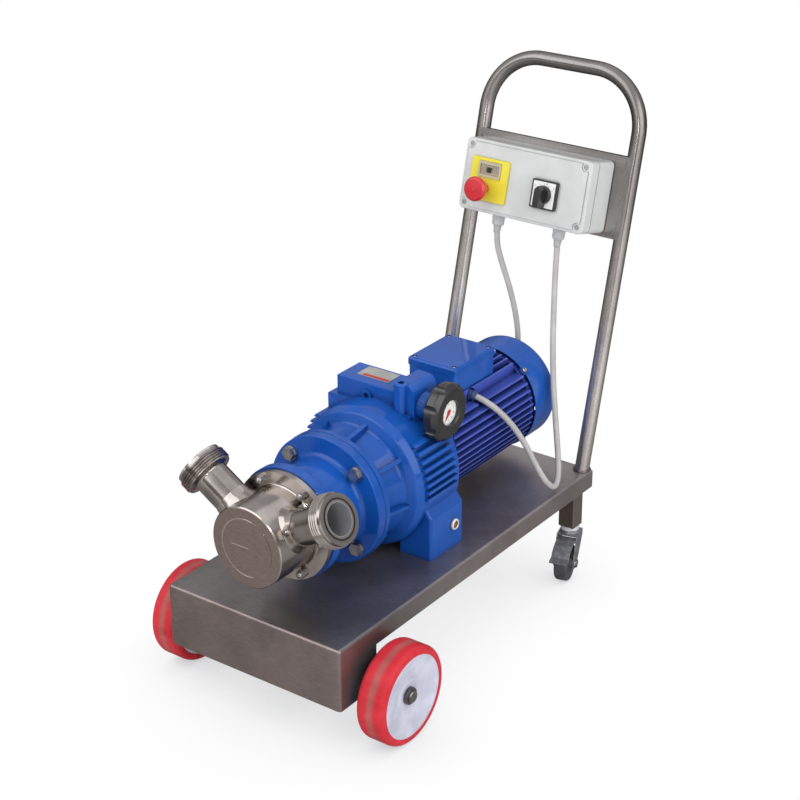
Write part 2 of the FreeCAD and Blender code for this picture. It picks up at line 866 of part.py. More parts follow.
def make_enclosure_lid():
    half = box_width / 2
    top = box_bottom + box_height
    rim_front = box_front + lid_step / 3
    outer = rounded_block(-half, half, box_bottom, top, rim_front, box_split, box_corner)
    outer = outer.makeFillet(box_edge, [e for e in outer.Edges if e.BoundBox.YMax < rim_front + small])
    panel = rounded_block(-half + lid_step, half - lid_step, box_bottom + lid_step, top - lid_step,
                          box_front, rim_front + 2, box_corner)
    for x, z in lid_screw_places():
        clear = rod(V(x, box_front - 1, z), Y_AXIS, 2 * lid_screw_radius, lid_step / 3 + 1)
        panel = panel.cut(clear)
    lid = joined(outer, panel)
    inner = rounded_block(-half + box_wall, half - box_wall, box_bottom + box_wall, top - box_wall,
                          rim_front + box_wall, box_split + 1, box_corner - box_wall)
    posts = []
    for x, z in lid_screw_places():
        posts.append(rod(V(x, rim_front + box_wall, z), Y_AXIS, lid_screw_radius + box_wall,
                         box_split - rim_front - box_wall))
    lid = lid.cut(inner.cut(Part.makeCompound(posts)))
    for x, z in lid_screw_places():
        lid = lid.cut(rod(V(x, rim_front - 1, z), Y_AXIS, lid_screw_radius + free_gap, box_wall + 1))
    starter_low = box_bottom + estop_plate_z + starter_rise - starter_height / 2
    starter_half = starter_width / 2 + free_gap
    lid = lid.cut(box(estop_plate_x - starter_half, estop_plate_x + starter_half, box_front - 1,
                      box_split, starter_low - free_gap, starter_low + starter_height + free_gap))
    lid = lid.cut(rod(V(button_x, box_front - 1, box_bottom + button_z), Y_AXIS,
                      button_stem_radius + free_gap, box_lid_depth))
    lid = lid.cut(rod(V(selector_x, box_front - 1, box_bottom + selector_z), Y_AXIS,
                      selector_size / 3 + free_gap, box_lid_depth))
    return on_handle(lid)


def make_enclosure_screws():
    screws = []
    rim_front = box_front + lid_step / 3
    for x, z in lid_screw_places():
        head = rod(V(x, rim_front + 0.5, z), Y_AXIS, lid_screw_radius, box_wall - 0.5)
        slot = box(x - lid_screw_radius, x + lid_screw_radius, rim_front, rim_front + 1.5, z - 0.6, z + 0.6)
        screws.append(on_handle(head.cut(slot)))
    return screws


def make_estop_plate():
    low = box_bottom + estop_plate_z - estop_plate_height / 2
    half = estop_plate_width / 2
    front = box_front - estop_plate_thickness
    plate = rounded_block(estop_plate_x - half, estop_plate_x + half, low, low + estop_plate_height,
                          front, box_front, 3)
    starter_low = box_bottom + estop_plate_z + starter_rise - starter_height / 2
    plate = plate.cut(box(estop_plate_x - starter_width / 2 - free_gap,
                          estop_plate_x + starter_width / 2 + free_gap, front - 1, box_front + 1,
                          starter_low - free_gap, starter_low + starter_height + free_gap))
    plate = plate.cut(rod(V(button_x, front - 1, box_bottom + button_z), Y_AXIS,
                          button_stem_radius + free_gap, estop_plate_thickness + 2))
    return on_handle(plate)


def make_starter_switch():
    low = box_bottom + estop_plate_z + starter_rise - starter_height / 2
    half = starter_width / 2
    front = box_front - estop_plate_thickness - 2
    window = rounded_block(estop_plate_x - half, estop_plate_x + half, low, low + starter_height,
                           front, front + starter_depth, 2)
    recess = box(estop_plate_x - half + 3, estop_plate_x + half - 3, front - 1, front + 3,
                 low + 5, low + starter_height - 5)
    rocker = box(estop_plate_x - 4, estop_plate_x + 4, front + 1, front + 5, low + 8,
                 low + starter_height - 8)
    return on_handle(joined(window.cut(recess), rocker))


def make_estop_button():
    front = box_front - estop_plate_thickness
    face = -(button_standoff + button_head)
    r = button_radius
    profile = [(0, face), (r - 3, face + 1, 3), (r, face + 5, 2), (r, face + 8, 1.5),
               (r - 5, -button_standoff, 1), (button_stem_radius, -button_standoff, 1),
               (button_stem_radius, button_stem_depth), (0, button_stem_depth)]
    button = turned(profile, V(button_x, front, box_bottom + button_z), Y_AXIS)
    return on_handle(button)


def make_selector_plate():
    half = selector_size / 2
    front = box_front - selector_plate_thickness
    z = box_bottom + selector_z
    plate = rounded_block(selector_x - half, selector_x + half, z - half, z + half, front, box_front, 2)
    body = rod(V(selector_x, box_front, z), Y_AXIS, selector_size / 3, starter_depth)
    bore = rod(V(selector_x, front - 1, z), Y_AXIS, selector_stem_radius + running_fit, starter_depth)
    return on_handle(joined(plate, body).cut(bore))


def make_selector_knob():
    """Black knob with a pointed grip bar that ends in a tail."""
    face = box_front - selector_plate_thickness - free_gap
    z = box_bottom + selector_z
    base = turned([(0, 0), (knob_radius, 0, 1), (knob_radius - 1.5, -knob_base, 1.5), (0, -knob_base)],
                  V(selector_x, face, z), Y_AXIS)
    half = knob_handle_width / 2
    bar_points = [(selector_x - half, z - knob_tail, 2), (selector_x + half, z - knob_tail, 2),
                  (selector_x + half, z + knob_radius - 7), (selector_x, z + knob_radius - 1),
                  (selector_x - half, z + knob_radius - 7)]
    bar = prism(bar_points, face - knob_height, face)
    stem = rod(V(selector_x, face, z), Y_AXIS, selector_stem_radius, selector_plate_thickness + 12)
    return on_handle(joined(base, bar, stem))


# Cable glands, built along +Z from the wall they sit on
def gland(start, direction, flats, length):
    hex_length = gland_hex * length / gland_length
    body = hexagon(V(0, 0, 0), Z_AXIS, flats, hex_length)
    nose = turned([(0, hex_length - 1), (flats / 2 - 0.5, hex_length - 1), (flats / 2 - 0.5, length - 4, 3),
                   (cable_radius + 1.2, length, 1), (0, length)], V(0, 0, 0), Z_AXIS)
    solid = joined(body, nose)
    solid.Placement = FreeCAD.Placement(start, FreeCAD.Rotation(Z_AXIS, direction))
    return solid


def make_cable_glands():
    depth = box_back - gland_depth
    down = V(0, 0, -1)
    left = on_handle(gland(V(gland_left_x, depth, box_bottom), down, gland_flats, gland_length))
    right = on_handle(gland(V(gland_right_x, depth, box_bottom), down, gland_flats, gland_length))
    motor = gland(V(terminal_side, terminal_gland_y, terminal_gland_z), X_AXIS, terminal_gland_flats,
                  terminal_gland_length)
    return left, right, motor


def gland_mouth(x):
    """Point where a cable leaves one of the switch box's glands."""
    point = Part.Vertex(V(x, box_back - gland_depth, box_bottom - gland_length))
    point = Part.makeCompound([point])
    return on_handle(point).Vertexes[0].Point


# Pump
def chamber(length_start, length_end):
    """The swept space of the impeller: a round bore with a shallower arc under the cam."""
    centre_drop = cam_curve - (chamber_radius - cam_depth)
    bore = rod(V(0, length_start, axis_z), Y_AXIS, chamber_radius, length_end - length_start)
    arc = rod(V(0, length_start, axis_z - centre_drop), Y_AXIS, cam_curve, length_end - length_start)
    return bore.common(arc)


def port_axis(side):
    a = math.radians(port_angle - side * head_turn)
    return V(side * math.cos(a), 0, math.sin(a))


def stud_places(y):
    """Points of the stud circle at one distance along the pump axis."""
    return [around_axis(i * 360.0 / stud_count - head_turn, stud_circle, y) for i in range(stud_count)]


def make_pump_body():
    start = V(0, nose_y, axis_z)
    flange_end = body_length + flange_thickness
    profile = [(0, 0), (body_radius - nose_chamfer, 0), (body_radius, nose_chamfer),
               (body_radius, body_length, 4), (flange_radius, body_length),
               (flange_radius, flange_end), (0, flange_end)]
    body = turned(profile, start, Y_AXIS)
    outer = port_bore + port_wall
    collars = []
    for side in (-1, 1):
        root = V(0, port_y, axis_z) + port_axis(side) * (body_radius - port_collar_root)
        length = port_collar_root + port_collar_length
        collars.append(turned([(0, 0), (outer + port_collar, 0),
                               (outer + port_collar_waist, length * 0.6, port_collar_root),
                               (outer + port_collar_end, length), (0, length)], root, port_axis(side)))
    body = joined(body, *collars)
    for side in (-1, 1):
        centre = V(0, port_y, axis_z)
        seat = rod(centre, port_axis(side), outer + thread_fit, far / 4)
        body = body.cut(seat.cut(rod(V(0, nose_y, axis_z), Y_AXIS, body_radius, far)))
        body = body.cut(rod(centre, port_axis(side), port_bore + port_step, body_radius + 1))
    body = body.cut(chamber(nose_y + body_front_wall, nose_y + flange_end + 1))
    for place in stud_places(flange_y - 1):
        body = body.cut(rod(place, Y_AXIS, stud_radius + bolt_clearance, flange_thickness + 2))
    groove = turned([(o_ring_circle - o_ring_radius - 0.2, 0), (o_ring_circle + o_ring_radius + 0.2, 0),
                     (o_ring_circle + o_ring_radius + 0.2, -2 * o_ring_radius),
                     (o_ring_circle - o_ring_radius - 0.2, -2 * o_ring_radius)],
                    V(0, back_plate_y, axis_z), Y_AXIS)
    ring_edge = front_ring_radius + front_ring_width
    ring = turned([(front_ring_radius, 0), (ring_edge, 0), (ring_edge, front_ring_depth),
                   (front_ring_radius, front_ring_depth)], start, Y_AXIS)
    return body.cut(groove).cut(ring)


def make_port(side):
    """Welded pipe stub with a round-thread union, saddle-cut to the pump body."""
    outer = port_bore + port_wall
    thread_start = port_reach - union_length
    root = union_radius - thread_depth
    profile = [(port_bore, body_radius / 2), (outer, body_radius / 2),
               (outer, thread_start - union_flare, 3),
               (root - union_shoulder, thread_start - union_run_out, 2),
               (root, thread_start - union_run_out)]
    for i in range(thread_turns):
        place = thread_start + i * thread_pitch
        profile.extend([(root, place), (union_radius, place + thread_pitch * 0.4),
                        (union_radius, place + thread_pitch * 0.6)])
    profile.extend([(root, thread_start + thread_turns * thread_pitch),
                    (union_radius - union_lip, port_reach - union_lip),
                    (union_radius - union_lip, port_reach),
                    (port_bore + liner_groove_outer, port_reach),
                    (port_bore + liner_groove_outer, port_reach - liner_groove_depth),
                    (port_bore + liner_groove_inner, port_reach - liner_groove_depth),
                    (port_bore + liner_groove_inner, port_reach), (port_bore, port_reach)])
    stub = turned(profile, V(0, port_y, axis_z), port_axis(side))
    return stub.cut(rod(V(0, nose_y, axis_z), Y_AXIS, body_radius, far))


def make_body_seal():
    centre = V(0, back_plate_y - o_ring_radius, axis_z)
    return Part.makeTorus(o_ring_circle, o_ring_radius, centre, Y_AXIS)


def make_body_nuts():
    """Six studs, each with a hexagon nut and a rounded end."""
    sets = []
    for base in stud_places(flange_y):
        back = flange_thickness + back_plate_thickness
        stud = rod(base + V(0, -stud_length + back, 0), Y_AXIS, stud_radius, stud_length + 8)
        nut = hexagon(base - V(0, nut_height, 0), Y_AXIS, nut_flats, nut_height)
        cap = turned([(0, 0), (nut_flats * 0.42, 0), (nut_flats * 0.42, -3, 2.5), (0, -6)],
                     base - V(0, nut_height, 0), Y_AXIS)
        sets.append(joined(nut, cap, stud.common(box(-far, far, flange_y - nut_height, far, 0, far))))
    return sets


def make_back_plate():
    plate = rod(V(0, back_plate_y, axis_z), Y_AXIS, flange_radius, back_plate_thickness)
    plate = plate.cut(rod(V(0, back_plate_y - 1, axis_z), Y_AXIS, seal_radius + thread_fit,
                          back_plate_thickness + 2))
    for place in stud_places(back_plate_y - 1):
        plate = plate.cut(rod(place, Y_AXIS, stud_radius + bolt_clearance, back_plate_thickness + 2))
    return plate


def make_shaft_seal():
    bore = shaft_radius + free_gap
    start = V(0, back_plate_y + free_gap, axis_z)
    return turned([(bore, 0), (seal_radius - 3, 0), (seal_radius, 2), (seal_radius, seal_length),
                   (bore, seal_length)], start, Y_AXIS)


def chamber_reach(angle):
    """Distance from the pump axis to the chamber wall. The angle is measured from straight up."""
    a = math.radians(angle)
    drop = cam_curve - (chamber_radius - cam_depth)
    under_cam = -drop * math.cos(a) + math.sqrt(cam_curve ** 2 - (drop * math.sin(a)) ** 2)
    return min(chamber_radius, under_cam)


def blade(angle, width_y0, width_y1):
    """One rubber blade whose bulb touches the wall. It bends back more where the wall is nearer."""
    wall = chamber_reach(angle)
    tip_reach = wall - blade_bulb - free_gap
    bend = 10 + 3.2 * (chamber_radius - wall)
    root_angle = angle + bend
    root_reach = impeller_hub - 3
    middle_reach = (root_reach + tip_reach) / 2
    middle_angle = angle + bend * 0.72

    def polar(reach, degrees):
        a = math.radians(degrees)
        return V(reach * math.sin(a), 0, reach * math.cos(a))

    root = polar(root_reach, root_angle)
    middle = polar(middle_reach, middle_angle)
    tip = polar(tip_reach, angle)
    chord = (tip - root).normalize()
    across = V(chord.z, 0, -chord.x)
    first = Part.Arc(root + across * (blade_root / 2), middle + across * (blade_neck / 2),
                     tip + across * (blade_neck / 2)).toShape()
    second = Part.Arc(tip - across * (blade_neck / 2), middle - across * (blade_neck / 2),
                      root - across * (blade_root / 2)).toShape()
    lines = [Part.LineSegment(first.Vertexes[-1].Point, second.Vertexes[0].Point).toShape(),
             Part.LineSegment(second.Vertexes[-1].Point, first.Vertexes[0].Point).toShape()]
    web = Part.Face(Part.Wire([first, lines[0], second, lines[1]]))
    web.translate(V(0, width_y0, axis_z))
    web = web.extrude(V(0, width_y1 - width_y0, 0))
    bulb = rod(tip + V(0, width_y0, axis_z), Y_AXIS, blade_bulb, width_y1 - width_y0)
    return web, bulb


def make_impeller():
    y0 = nose_y + body_front_wall + free_gap
    y1 = nose_y + body_front_wall + chamber_length - free_gap
    parts = []
    for i in range(impeller_blades):
        parts.extend(blade(blade_start_angle + i * 360.0 / impeller_blades, y0, y1))
    hub = rod(V(0, y0, axis_z), Y_AXIS, impeller_hub, y1 - y0)
    impeller = joined(hub, *parts)
    return impeller.cut(rod(V(0, y0 - 1, axis_z), Y_AXIS, shaft_radius, far))


def make_pump_shaft():
    start = nose_y + body_front_wall + 2 * free_gap
    end = output_flange_y + output_shaft_depth
    chamfer = 1.0
    return turned([(0, start), (shaft_radius - chamfer, start), (shaft_radius, start + chamfer),
                   (shaft_radius, end), (0, end)], V(0, 0, axis_z), Y_AXIS)


# Lantern and its bolts
def flange_bolt_places():
    return [45 + i * 360.0 / flange_bolt_count for i in range(flange_bolt_count)]


def make_lantern():
    length = lantern_length
    web = length - drive_flange_thickness
    profile = [(seal_radius + thread_fit, 0), (lantern_ring_radius, 0, 1.5),
               (lantern_ring_radius, lantern_ring_thickness, 1.5),
               (lantern_neck, lantern_ring_thickness + 6, 8), (lantern_neck + 4, web, 10),
               (drive_flange_radius, web, 2), (drive_flange_radius, length - 1),
               (drive_flange_radius - 1, length), (lantern_neck - lantern_wall, length),
               (lantern_neck - lantern_wall, lantern_ring_thickness + 8, 6),
               (seal_radius + thread_fit, lantern_ring_thickness + 2)]
    lantern = turned(profile, V(0, lantern_y, axis_z), Y_AXIS)
    for place in stud_places(lantern_y - 1):
        lantern = lantern.cut(rod(place, Y_AXIS, stud_radius + thread_fit, lantern_ring_thickness + 2))
    for angle in flange_bolt_places():
        place = around_axis(angle, flange_bolt_circle, lantern_y + web - 1)
        lantern = lantern.cut(rod(place, Y_AXIS, flange_bolt_radius + bolt_clearance,
                                  drive_flange_thickness + 2))
        seat = around_axis(angle, flange_bolt_circle, lantern_y + web - spot_face_length)
        lantern = lantern.cut(rod(seat, Y_AXIS, washer_radius + bolt_clearance, spot_face_length))
    return lantern


def make_lantern_bolts():
    bolts = []
    face = output_flange_y - drive_flange_thickness
    for angle in flange_bolt_places():
        place = around_axis(angle, flange_bolt_circle, face)
        washer = rod(place - V(0, washer_thickness, 0), Y_AXIS, washer_radius, washer_thickness)
        head = hexagon(place - V(0, washer_thickness + flange_bolt_head, 0), Y_AXIS,
                       flange_bolt_flats, flange_bolt_head)
        shank = rod(place, Y_AXIS, flange_bolt_radius, drive_flange_thickness + output_flange_thickness)
        bolts.append(joined(washer, head, shank))
    return bolts


# Stepless drive
def make_variator_housing():
    rear = drive_length
    profile = [(0, -neck_length - output_flange_thickness),
               (drive_flange_radius - 1, -neck_length - output_flange_thickness),
               (drive_flange_radius + 1, 1 - neck_length - output_flange_thickness),
               (drive_flange_radius + 1, -neck_length, 1.5), (neck_front_radius, -neck_length, 6),
               (neck_rear_radius, -8, 8), (drive_face_radius, 0, 5),
               (drive_radius, drive_rounding, 8), (drive_radius, rear - rear_step - 6, 8),
               (rear_step_radius, rear - rear_step, 3), (rear_step_radius, rear), (0, rear)]
    housing = turned(profile, V(0, drive_y, axis_z), Y_AXIS)
    rib_profile = [(neck_front_radius - 6, neck_y - 1), (drive_flange_radius - 6, neck_y - 1),
                   (drive_flange_radius - 12, neck_y + 10, 8), (drive_face_radius - 8, drive_y + 2),
                   (neck_front_radius - 6, drive_y + 2)]
    rib = side_prism([(p[1], p[0]) + tuple(p[2:]) for p in rib_profile],
                     -neck_rib_thickness / 2, neck_rib_thickness / 2)
    rib.translate(V(0, 0, axis_z))
    ribs = [turned_about_pump(rib, neck_rib_angle + i * 360.0 / neck_rib_count)
            for i in range(neck_rib_count)]
    fins = []
    envelope = fin_envelope()
    for i in range(fin_count):
        z = axis_z + fin_bottom + i * fin_pitch
        fin = box(-far, far, drive_y + fin_front, drive_y + fin_front + fin_length,
                  z - fin_thickness / 2, z + fin_thickness / 2)
        fin = fin.common(envelope)
        fin = fin.cut(rod(V(0, drive_y, axis_z), Y_AXIS, drive_radius / 2, drive_length))
        fins.extend(fin.Solids)
    foot_inner = foot_outer - foot_width
    foot_top = deck_top + foot_height
    foot_peak = foot_top + foot_crown
    foot = prism([(foot_inner, deck_top), (foot_outer, deck_top), (foot_outer, foot_top - foot_shoulder, 6),
                  (foot_outer - foot_shoulder, foot_peak), (foot_inner + foot_root, foot_peak),
                  (foot_inner, foot_top - foot_drop)],
                 drive_y + foot_front, drive_y + foot_front + foot_length)
    foot = foot.makeFillet(5, [e for e in foot.Edges if e.BoundBox.ZLength > foot_height / 2
                               and e.BoundBox.XMin > foot_outer - 1])
    housing = joined(housing, foot, mirrored(foot), *ribs, *fins).cut(control_shaft_room())
    housing = housing.cut(rod(V(handwheel_back - handwheel_room, control_axis_y, control_axis_z), X_AXIS,
                              handwheel_radius + handwheel_room, far))
    housing = housing.cut(rod(V(0, output_flange_y - 1, axis_z), Y_AXIS, shaft_radius + running_fit,
                              output_shaft_depth + 2))
    housing = housing.cut(rod(V(0, motor_y - input_shaft_depth - 1, axis_z), Y_AXIS,
                              motor_shaft_radius + running_fit, input_shaft_depth + 2))
    for angle in flange_bolt_places():
        place = around_axis(angle, flange_bolt_circle, output_flange_y - 1)
        housing = housing.cut(rod(place, Y_AXIS, flange_bolt_radius + thread_fit,
                                  output_flange_thickness + 2))
    for x, y in foot_bolt_places():
        housing = housing.cut(rod(V(x, y, deck_top - 1), Z_AXIS, foot_bolt_radius + thread_fit,
                                  foot_bolt_length))
    for side in (-1, 1):
        y, z = oil_plug_place()
        seat = rod(V(side * (foot_outer - 6), y, z), X_AXIS * side, oil_plug_radius - 2 + thread_fit, 10)
        housing = housing.cut(seat)
    return housing


def fin_envelope():
    return rod(V(0, drive_y, axis_z), Y_AXIS, drive_radius + fin_height, drive_length)


def oil_plug_place():
    return drive_y + foot_front + oil_plug_setback, deck_top + oil_plug_rise


def make_oil_plugs():
    """Brass level plugs, one in each side of the housing."""
    y, z = oil_plug_place()
    start = V(foot_outer, y, z)
    r = oil_plug_radius
    h = oil_plug_height
    plug = turned([(0, -5.5), (r - 2, -5.5), (r - 2, 0), (r, 0), (r, h, 1), (r - 3, h),
                   (r - 3.5, h - 2.5), (0, h - 2.5)], start, X_AXIS)
    return plug, mirrored(plug)


def make_foot_bolts():
    bolts = []
    low = deck_under - mounting_plate_thickness
    for x, y in foot_bolt_places():
        head = hexagon(V(x, y, low - foot_bolt_head), Z_AXIS, foot_bolt_flats, foot_bolt_head)
        shank = rod(V(x, y, low), Z_AXIS, foot_bolt_radius,
                    mounting_plate_thickness + deck_sheet + foot_bolt_length - 4)
        bolts.append(joined(head, shank))
    return bolts


# Speed control
def make_speed_control_housing():
    y0 = control_y
    y1 = control_y + control_depth
    top = axis_z + control_height
    low = axis_z + drive_radius * 0.6
    main = prism([(control_left, low), (control_right, low), (control_right, top, 3),
                  (control_left, top, 4)], y0, y1)
    main = main.makeFillet(2, [e for e in main.Edges if e.BoundBox.YMax < y0 + small
                               and e.BoundBox.ZMin > top - 6])
    plinth_top = axis_z + plinth_height
    plinth_right = bearing_right - plinth_setback
    plinth = prism([(control_left - plinth_step, low), (plinth_right, low),
                    (plinth_right, plinth_top, 3), (control_left - plinth_step, plinth_top, 3)],
                   y0 - plinth_overhang, y1 + plinth_overhang)
    bearing_top = axis_z + bearing_height
    bearing = prism([(bearing_left, low), (bearing_right, low), (bearing_right, bearing_top, bearing_round),
                     (bearing_left, bearing_top, 3)], y0, y1 + 3)
    pillar_y = y0 + 2
    pillar = turned([(0, low), (pillar_radius, low), (pillar_radius, axis_z + pillar_height, 2),
                     (0, axis_z + pillar_height)], V(pillar_x, pillar_y, 0), Z_AXIS)
    boss_x = (control_left + control_right) / 2
    boss_start = V(boss_x, y0 - front_boss_height, axis_z + front_boss_rise)
    boss = rod(boss_start, Y_AXIS, front_boss_radius, front_boss_height + 1)
    boss_socket = hexagon(boss_start - V(0, 1, 0), Y_AXIS, 2 * front_boss_socket, front_boss_height + 3)
    boss_end = handwheel_back - shaft_boss_gap
    shaft_boss = turned([(0, bearing_right - 2), (shaft_boss_root, bearing_right - 2),
                         (shaft_boss_waist, bearing_right + shaft_boss_step, 3),
                         (shaft_boss_nose, boss_end), (0, boss_end)],
                        V(0, control_axis_y, control_axis_z), X_AXIS)
    housing = joined(main, plinth, bearing, pillar, boss, shaft_boss)
    housing = housing.cut(rod(V(0, drive_y, axis_z), Y_AXIS, drive_radius, drive_length))
    fin_top = axis_z + fin_bottom + (fin_count - 1) * fin_pitch + fin_thickness / 2
    housing = housing.cut(fin_envelope().common(box(-far, far, -far, far, 0, fin_top)))
    socket = hexagon(V(pillar_x, pillar_y, axis_z + pillar_height - 5), Z_AXIS, 2 * pillar_socket, 6)
    return housing.cut(control_shaft_room()).cut(socket).cut(boss_socket)


def control_shaft_room():
    start = V(control_shaft_left - 1, control_axis_y, control_axis_z)
    return rod(start, X_AXIS, control_shaft_radius + running_fit, far)


def make_control_shaft():
    start = control_shaft_left
    end = handwheel_face - pocket_depth - 3
    return turned([(0, start), (control_shaft_radius, start), (control_shaft_radius, end), (0, end)],
                  V(0, control_axis_y, control_axis_z), X_AXIS)


def make_handwheel():
    """Moulded lobed wheel with a round pocket for the position indicator."""
    r = handwheel_radius
    t = handwheel_thickness
    profile = [(0, 0), (control_shaft_radius + 9, 0, 2), (control_shaft_radius + 11, 5, 3), (r - 6, 5, 4),
               (r, 10, 3), (r, t - 7, 5), (r - 9, t, 3), (pocket_radius + 3, t, 1), (pocket_radius, t - 2),
               (pocket_radius, t - pocket_depth), (0, t - pocket_depth)]
    centre = V(handwheel_back, control_axis_y, control_axis_z)
    wheel = turned(profile, centre, X_AXIS)
    cut_reach = r + lobe_cut - lobe_cut_depth
    cuts = []
    for i in range(handwheel_lobes):
        a = math.radians((i + 0.5) * 360.0 / handwheel_lobes)
        place = centre + V(-1, cut_reach * math.cos(a), cut_reach * math.sin(a))
        cuts.append(rod(place, X_AXIS, lobe_cut, t + 2))
    wheel = wheel.cut(Part.makeCompound(cuts))
    return wheel.cut(rod(centre - V(1, 0, 0), X_AXIS, control_shaft_radius, t - pocket_depth - 2))


def make_indicator_dial():
    """White dial disc, kept upright by its weight inside the turning handwheel."""
    start = V(handwheel_face - pocket_depth + free_gap, control_axis_y, control_axis_z)
    disc = rod(start, X_AXIS, pocket_radius - free_gap, dial_thickness)
    return disc.cut(rod(start - V(1, 0, 0), X_AXIS, pointer_pin_radius + running_fit, dial_thickness + 2))


def make_indicator_pointer():
    start = handwheel_face - pocket_depth + free_gap
    face = start + dial_thickness + free_gap
    pin = rod(V(start, control_axis_y, control_axis_z), X_AXIS, pointer_pin_radius, face - start + 1.5)
    y = control_axis_y
    z = control_axis_z
    tail = pointer_half - 1
    needle = side_prism([(y - pointer_half, z), (y - tail, z - pointer_tail),
                         (y + tail, z - pointer_tail), (y + pointer_half, z),
                         (y + pointer_tip, z + pointer_length), (y - pointer_tip, z + pointer_length)],
                        face, face + pointer_thickness)
    needle.rotate(V(face, y, z), X_AXIS, pointer_rest)
    return joined(pin, needle)


# Motor
def make_front_shield():
    bore = motor_shaft_radius + free_gap
    length = front_shield_length
    profile = [(bore, 0), (motor_flange_radius, 0, 1), (motor_flange_radius, motor_flange_thickness, 2),
               (frame_core + 6, motor_flange_thickness + 4, 3), (frame_core + 6, length), (bore, length)]
    return turned(profile, V(0, motor_y, axis_z), Y_AXIS)


def terminal_space(clearance):
    """Block that the terminal box takes up on the motor frame."""
    half = terminal_width / 2 + clearance
    return box(terminal_offset - half, terminal_offset + half, terminal_y - clearance,
               terminal_y + terminal_length + clearance, axis_z + terminal_bottom - clearance,
               axis_z + terminal_top)


def make_motor_frame():
    """Finned frame with its wound stator: fins lie flat on the sides and stand up above and below."""
    core = rod(V(0, frame_y, axis_z), Y_AXIS, frame_core, frame_length)
    envelope = rod(V(0, frame_y, axis_z), Y_AXIS, frame_envelope, frame_length)
    inside = rod(V(0, frame_y, axis_z), Y_AXIS, frame_core - 2, frame_length)
    y0 = frame_y
    y1 = frame_y + frame_length
    half = frame_fin_thickness / 2
    fins = []
    middle = (frame_fin_count - 1) / 2
    for i in range(frame_fin_count):
        offset = (i - middle) * frame_fin_pitch
        z = axis_z + offset
        flat = box(-far, far, y0, y1, z - half, z + half)
        fins.extend(flat.common(envelope).cut(inside).Solids)
        if abs(offset) < frame_core - 2 * frame_fin_pitch:
            upright = box(offset - half, offset + half, y0, y1, axis_z - far, axis_z + far)
            fins.extend(upright.common(envelope).cut(inside).Solids)
    frame = joined(core, *fins)
    frame = frame.cut(terminal_space(free_gap).cut(core))
    gland_start = V(terminal_side, terminal_gland_y, terminal_gland_z)
    frame = frame.cut(rod(gland_start, X_AXIS, terminal_gland_flats * 0.7, far))
    return frame.cut(rod(V(0, frame_y - 1, axis_z), Y_AXIS, frame_bore, frame_length + 2))


def make_rear_shield():
    bore = motor_shaft_radius + running_fit
    length = rear_shield_length
    profile = [(bore, 0), (rear_shield_radius, 0, 1), (rear_shield_radius, length - 3, 3),
               (rear_shield_radius - 8, length, 2), (bore, length)]
    shield = turned(profile, V(0, rear_shield_y, axis_z), Y_AXIS)
    lugs = []
    reach = cover_radius - cover_sheet
    for i in range(4):
        lug = box(rear_shield_radius - 6, reach + 2, rear_shield_y + 2, rear_shield_y + length,
                  axis_z - cover_lug_half, axis_z + cover_lug_half)
        lug = lug.common(rod(V(0, rear_shield_y, axis_z), Y_AXIS, reach, length))
        lugs.append(turned_about_pump(lug, 45 + 90 * i))
    return joined(shield, *lugs)


def make_motor_rotor():
    start = motor_y - input_shaft_depth
    end = cover_y + cover_length - 10
    middle = frame_y + frame_length / 2
    r = motor_shaft_radius
    front = middle - rotor_length / 2
    rear = middle + rotor_length / 2
    profile = [(0, start), (r, start), (r, front), (rotor_radius, front), (rotor_radius, rear),
               (r, rear), (r, end), (0, end)]
    return turned(profile, V(0, 0, axis_z), Y_AXIS)


def make_motor_fan():
    start = rear_shield_y + rear_shield_length + fan_gap
    hub = rod(V(0, start, axis_z), Y_AXIS, fan_hub, fan_width)
    disc = rod(V(0, start, axis_z), Y_AXIS, fan_radius, fan_blade_thickness)
    blades = []
    for i in range(fan_blades):
        paddle = box(fan_hub - 2, fan_radius, start, start + fan_width, axis_z - fan_blade_thickness / 2,
                     axis_z + fan_blade_thickness / 2)
        blades.append(turned_about_pump(paddle, i * 360.0 / fan_blades))
    fan = joined(hub, disc, *blades)
    return fan.cut(rod(V(0, start - 1, axis_z), Y_AXIS, motor_shaft_radius, fan_width + 2))


def make_fan_cover():
    r = cover_radius
    t = cover_sheet
    length = cover_length
    profile = [(r - t, 0), (r, 0), (r, length, cover_round), (0, length), (0, length - t),
               (r - t, length - t, cover_round - t)]
    cover = turned(profile, V(0, cover_y, axis_z), Y_AXIS)
    inner = cover_radius * 0.25
    outer = cover_radius * 0.78
    slots = []
    for i in range(cover_slots):
        bar = box(inner, outer, cover_y + length - 2 * t, cover_y + length + 1,
                  axis_z - cover_slot_width / 2, axis_z + cover_slot_width / 2)
        slots.append(turned_about_pump(bar, i * 360.0 / cover_slots))
    return cover.cut(Part.makeCompound(slots).Solids)


def make_terminal_box():
    half = terminal_width / 2
    top = axis_z + terminal_top
    y0 = terminal_y
    y1 = terminal_y + terminal_length
    block = terminal_space(0)
    edges = [e for e in block.Edges if e.BoundBox.ZLength > 10]
    block = block.makeFillet(terminal_round, edges)
    core = rod(V(0, y0 - 1, axis_z), Y_AXIS, frame_core, terminal_length + 2)
    wall = terminal_wall
    hollow = box(terminal_offset - half + wall, terminal_offset + half - wall, y0 + wall, y1 - wall,
                 axis_z + frame_core + wall, top + 1)
    return block.cut(core).cut(hollow)


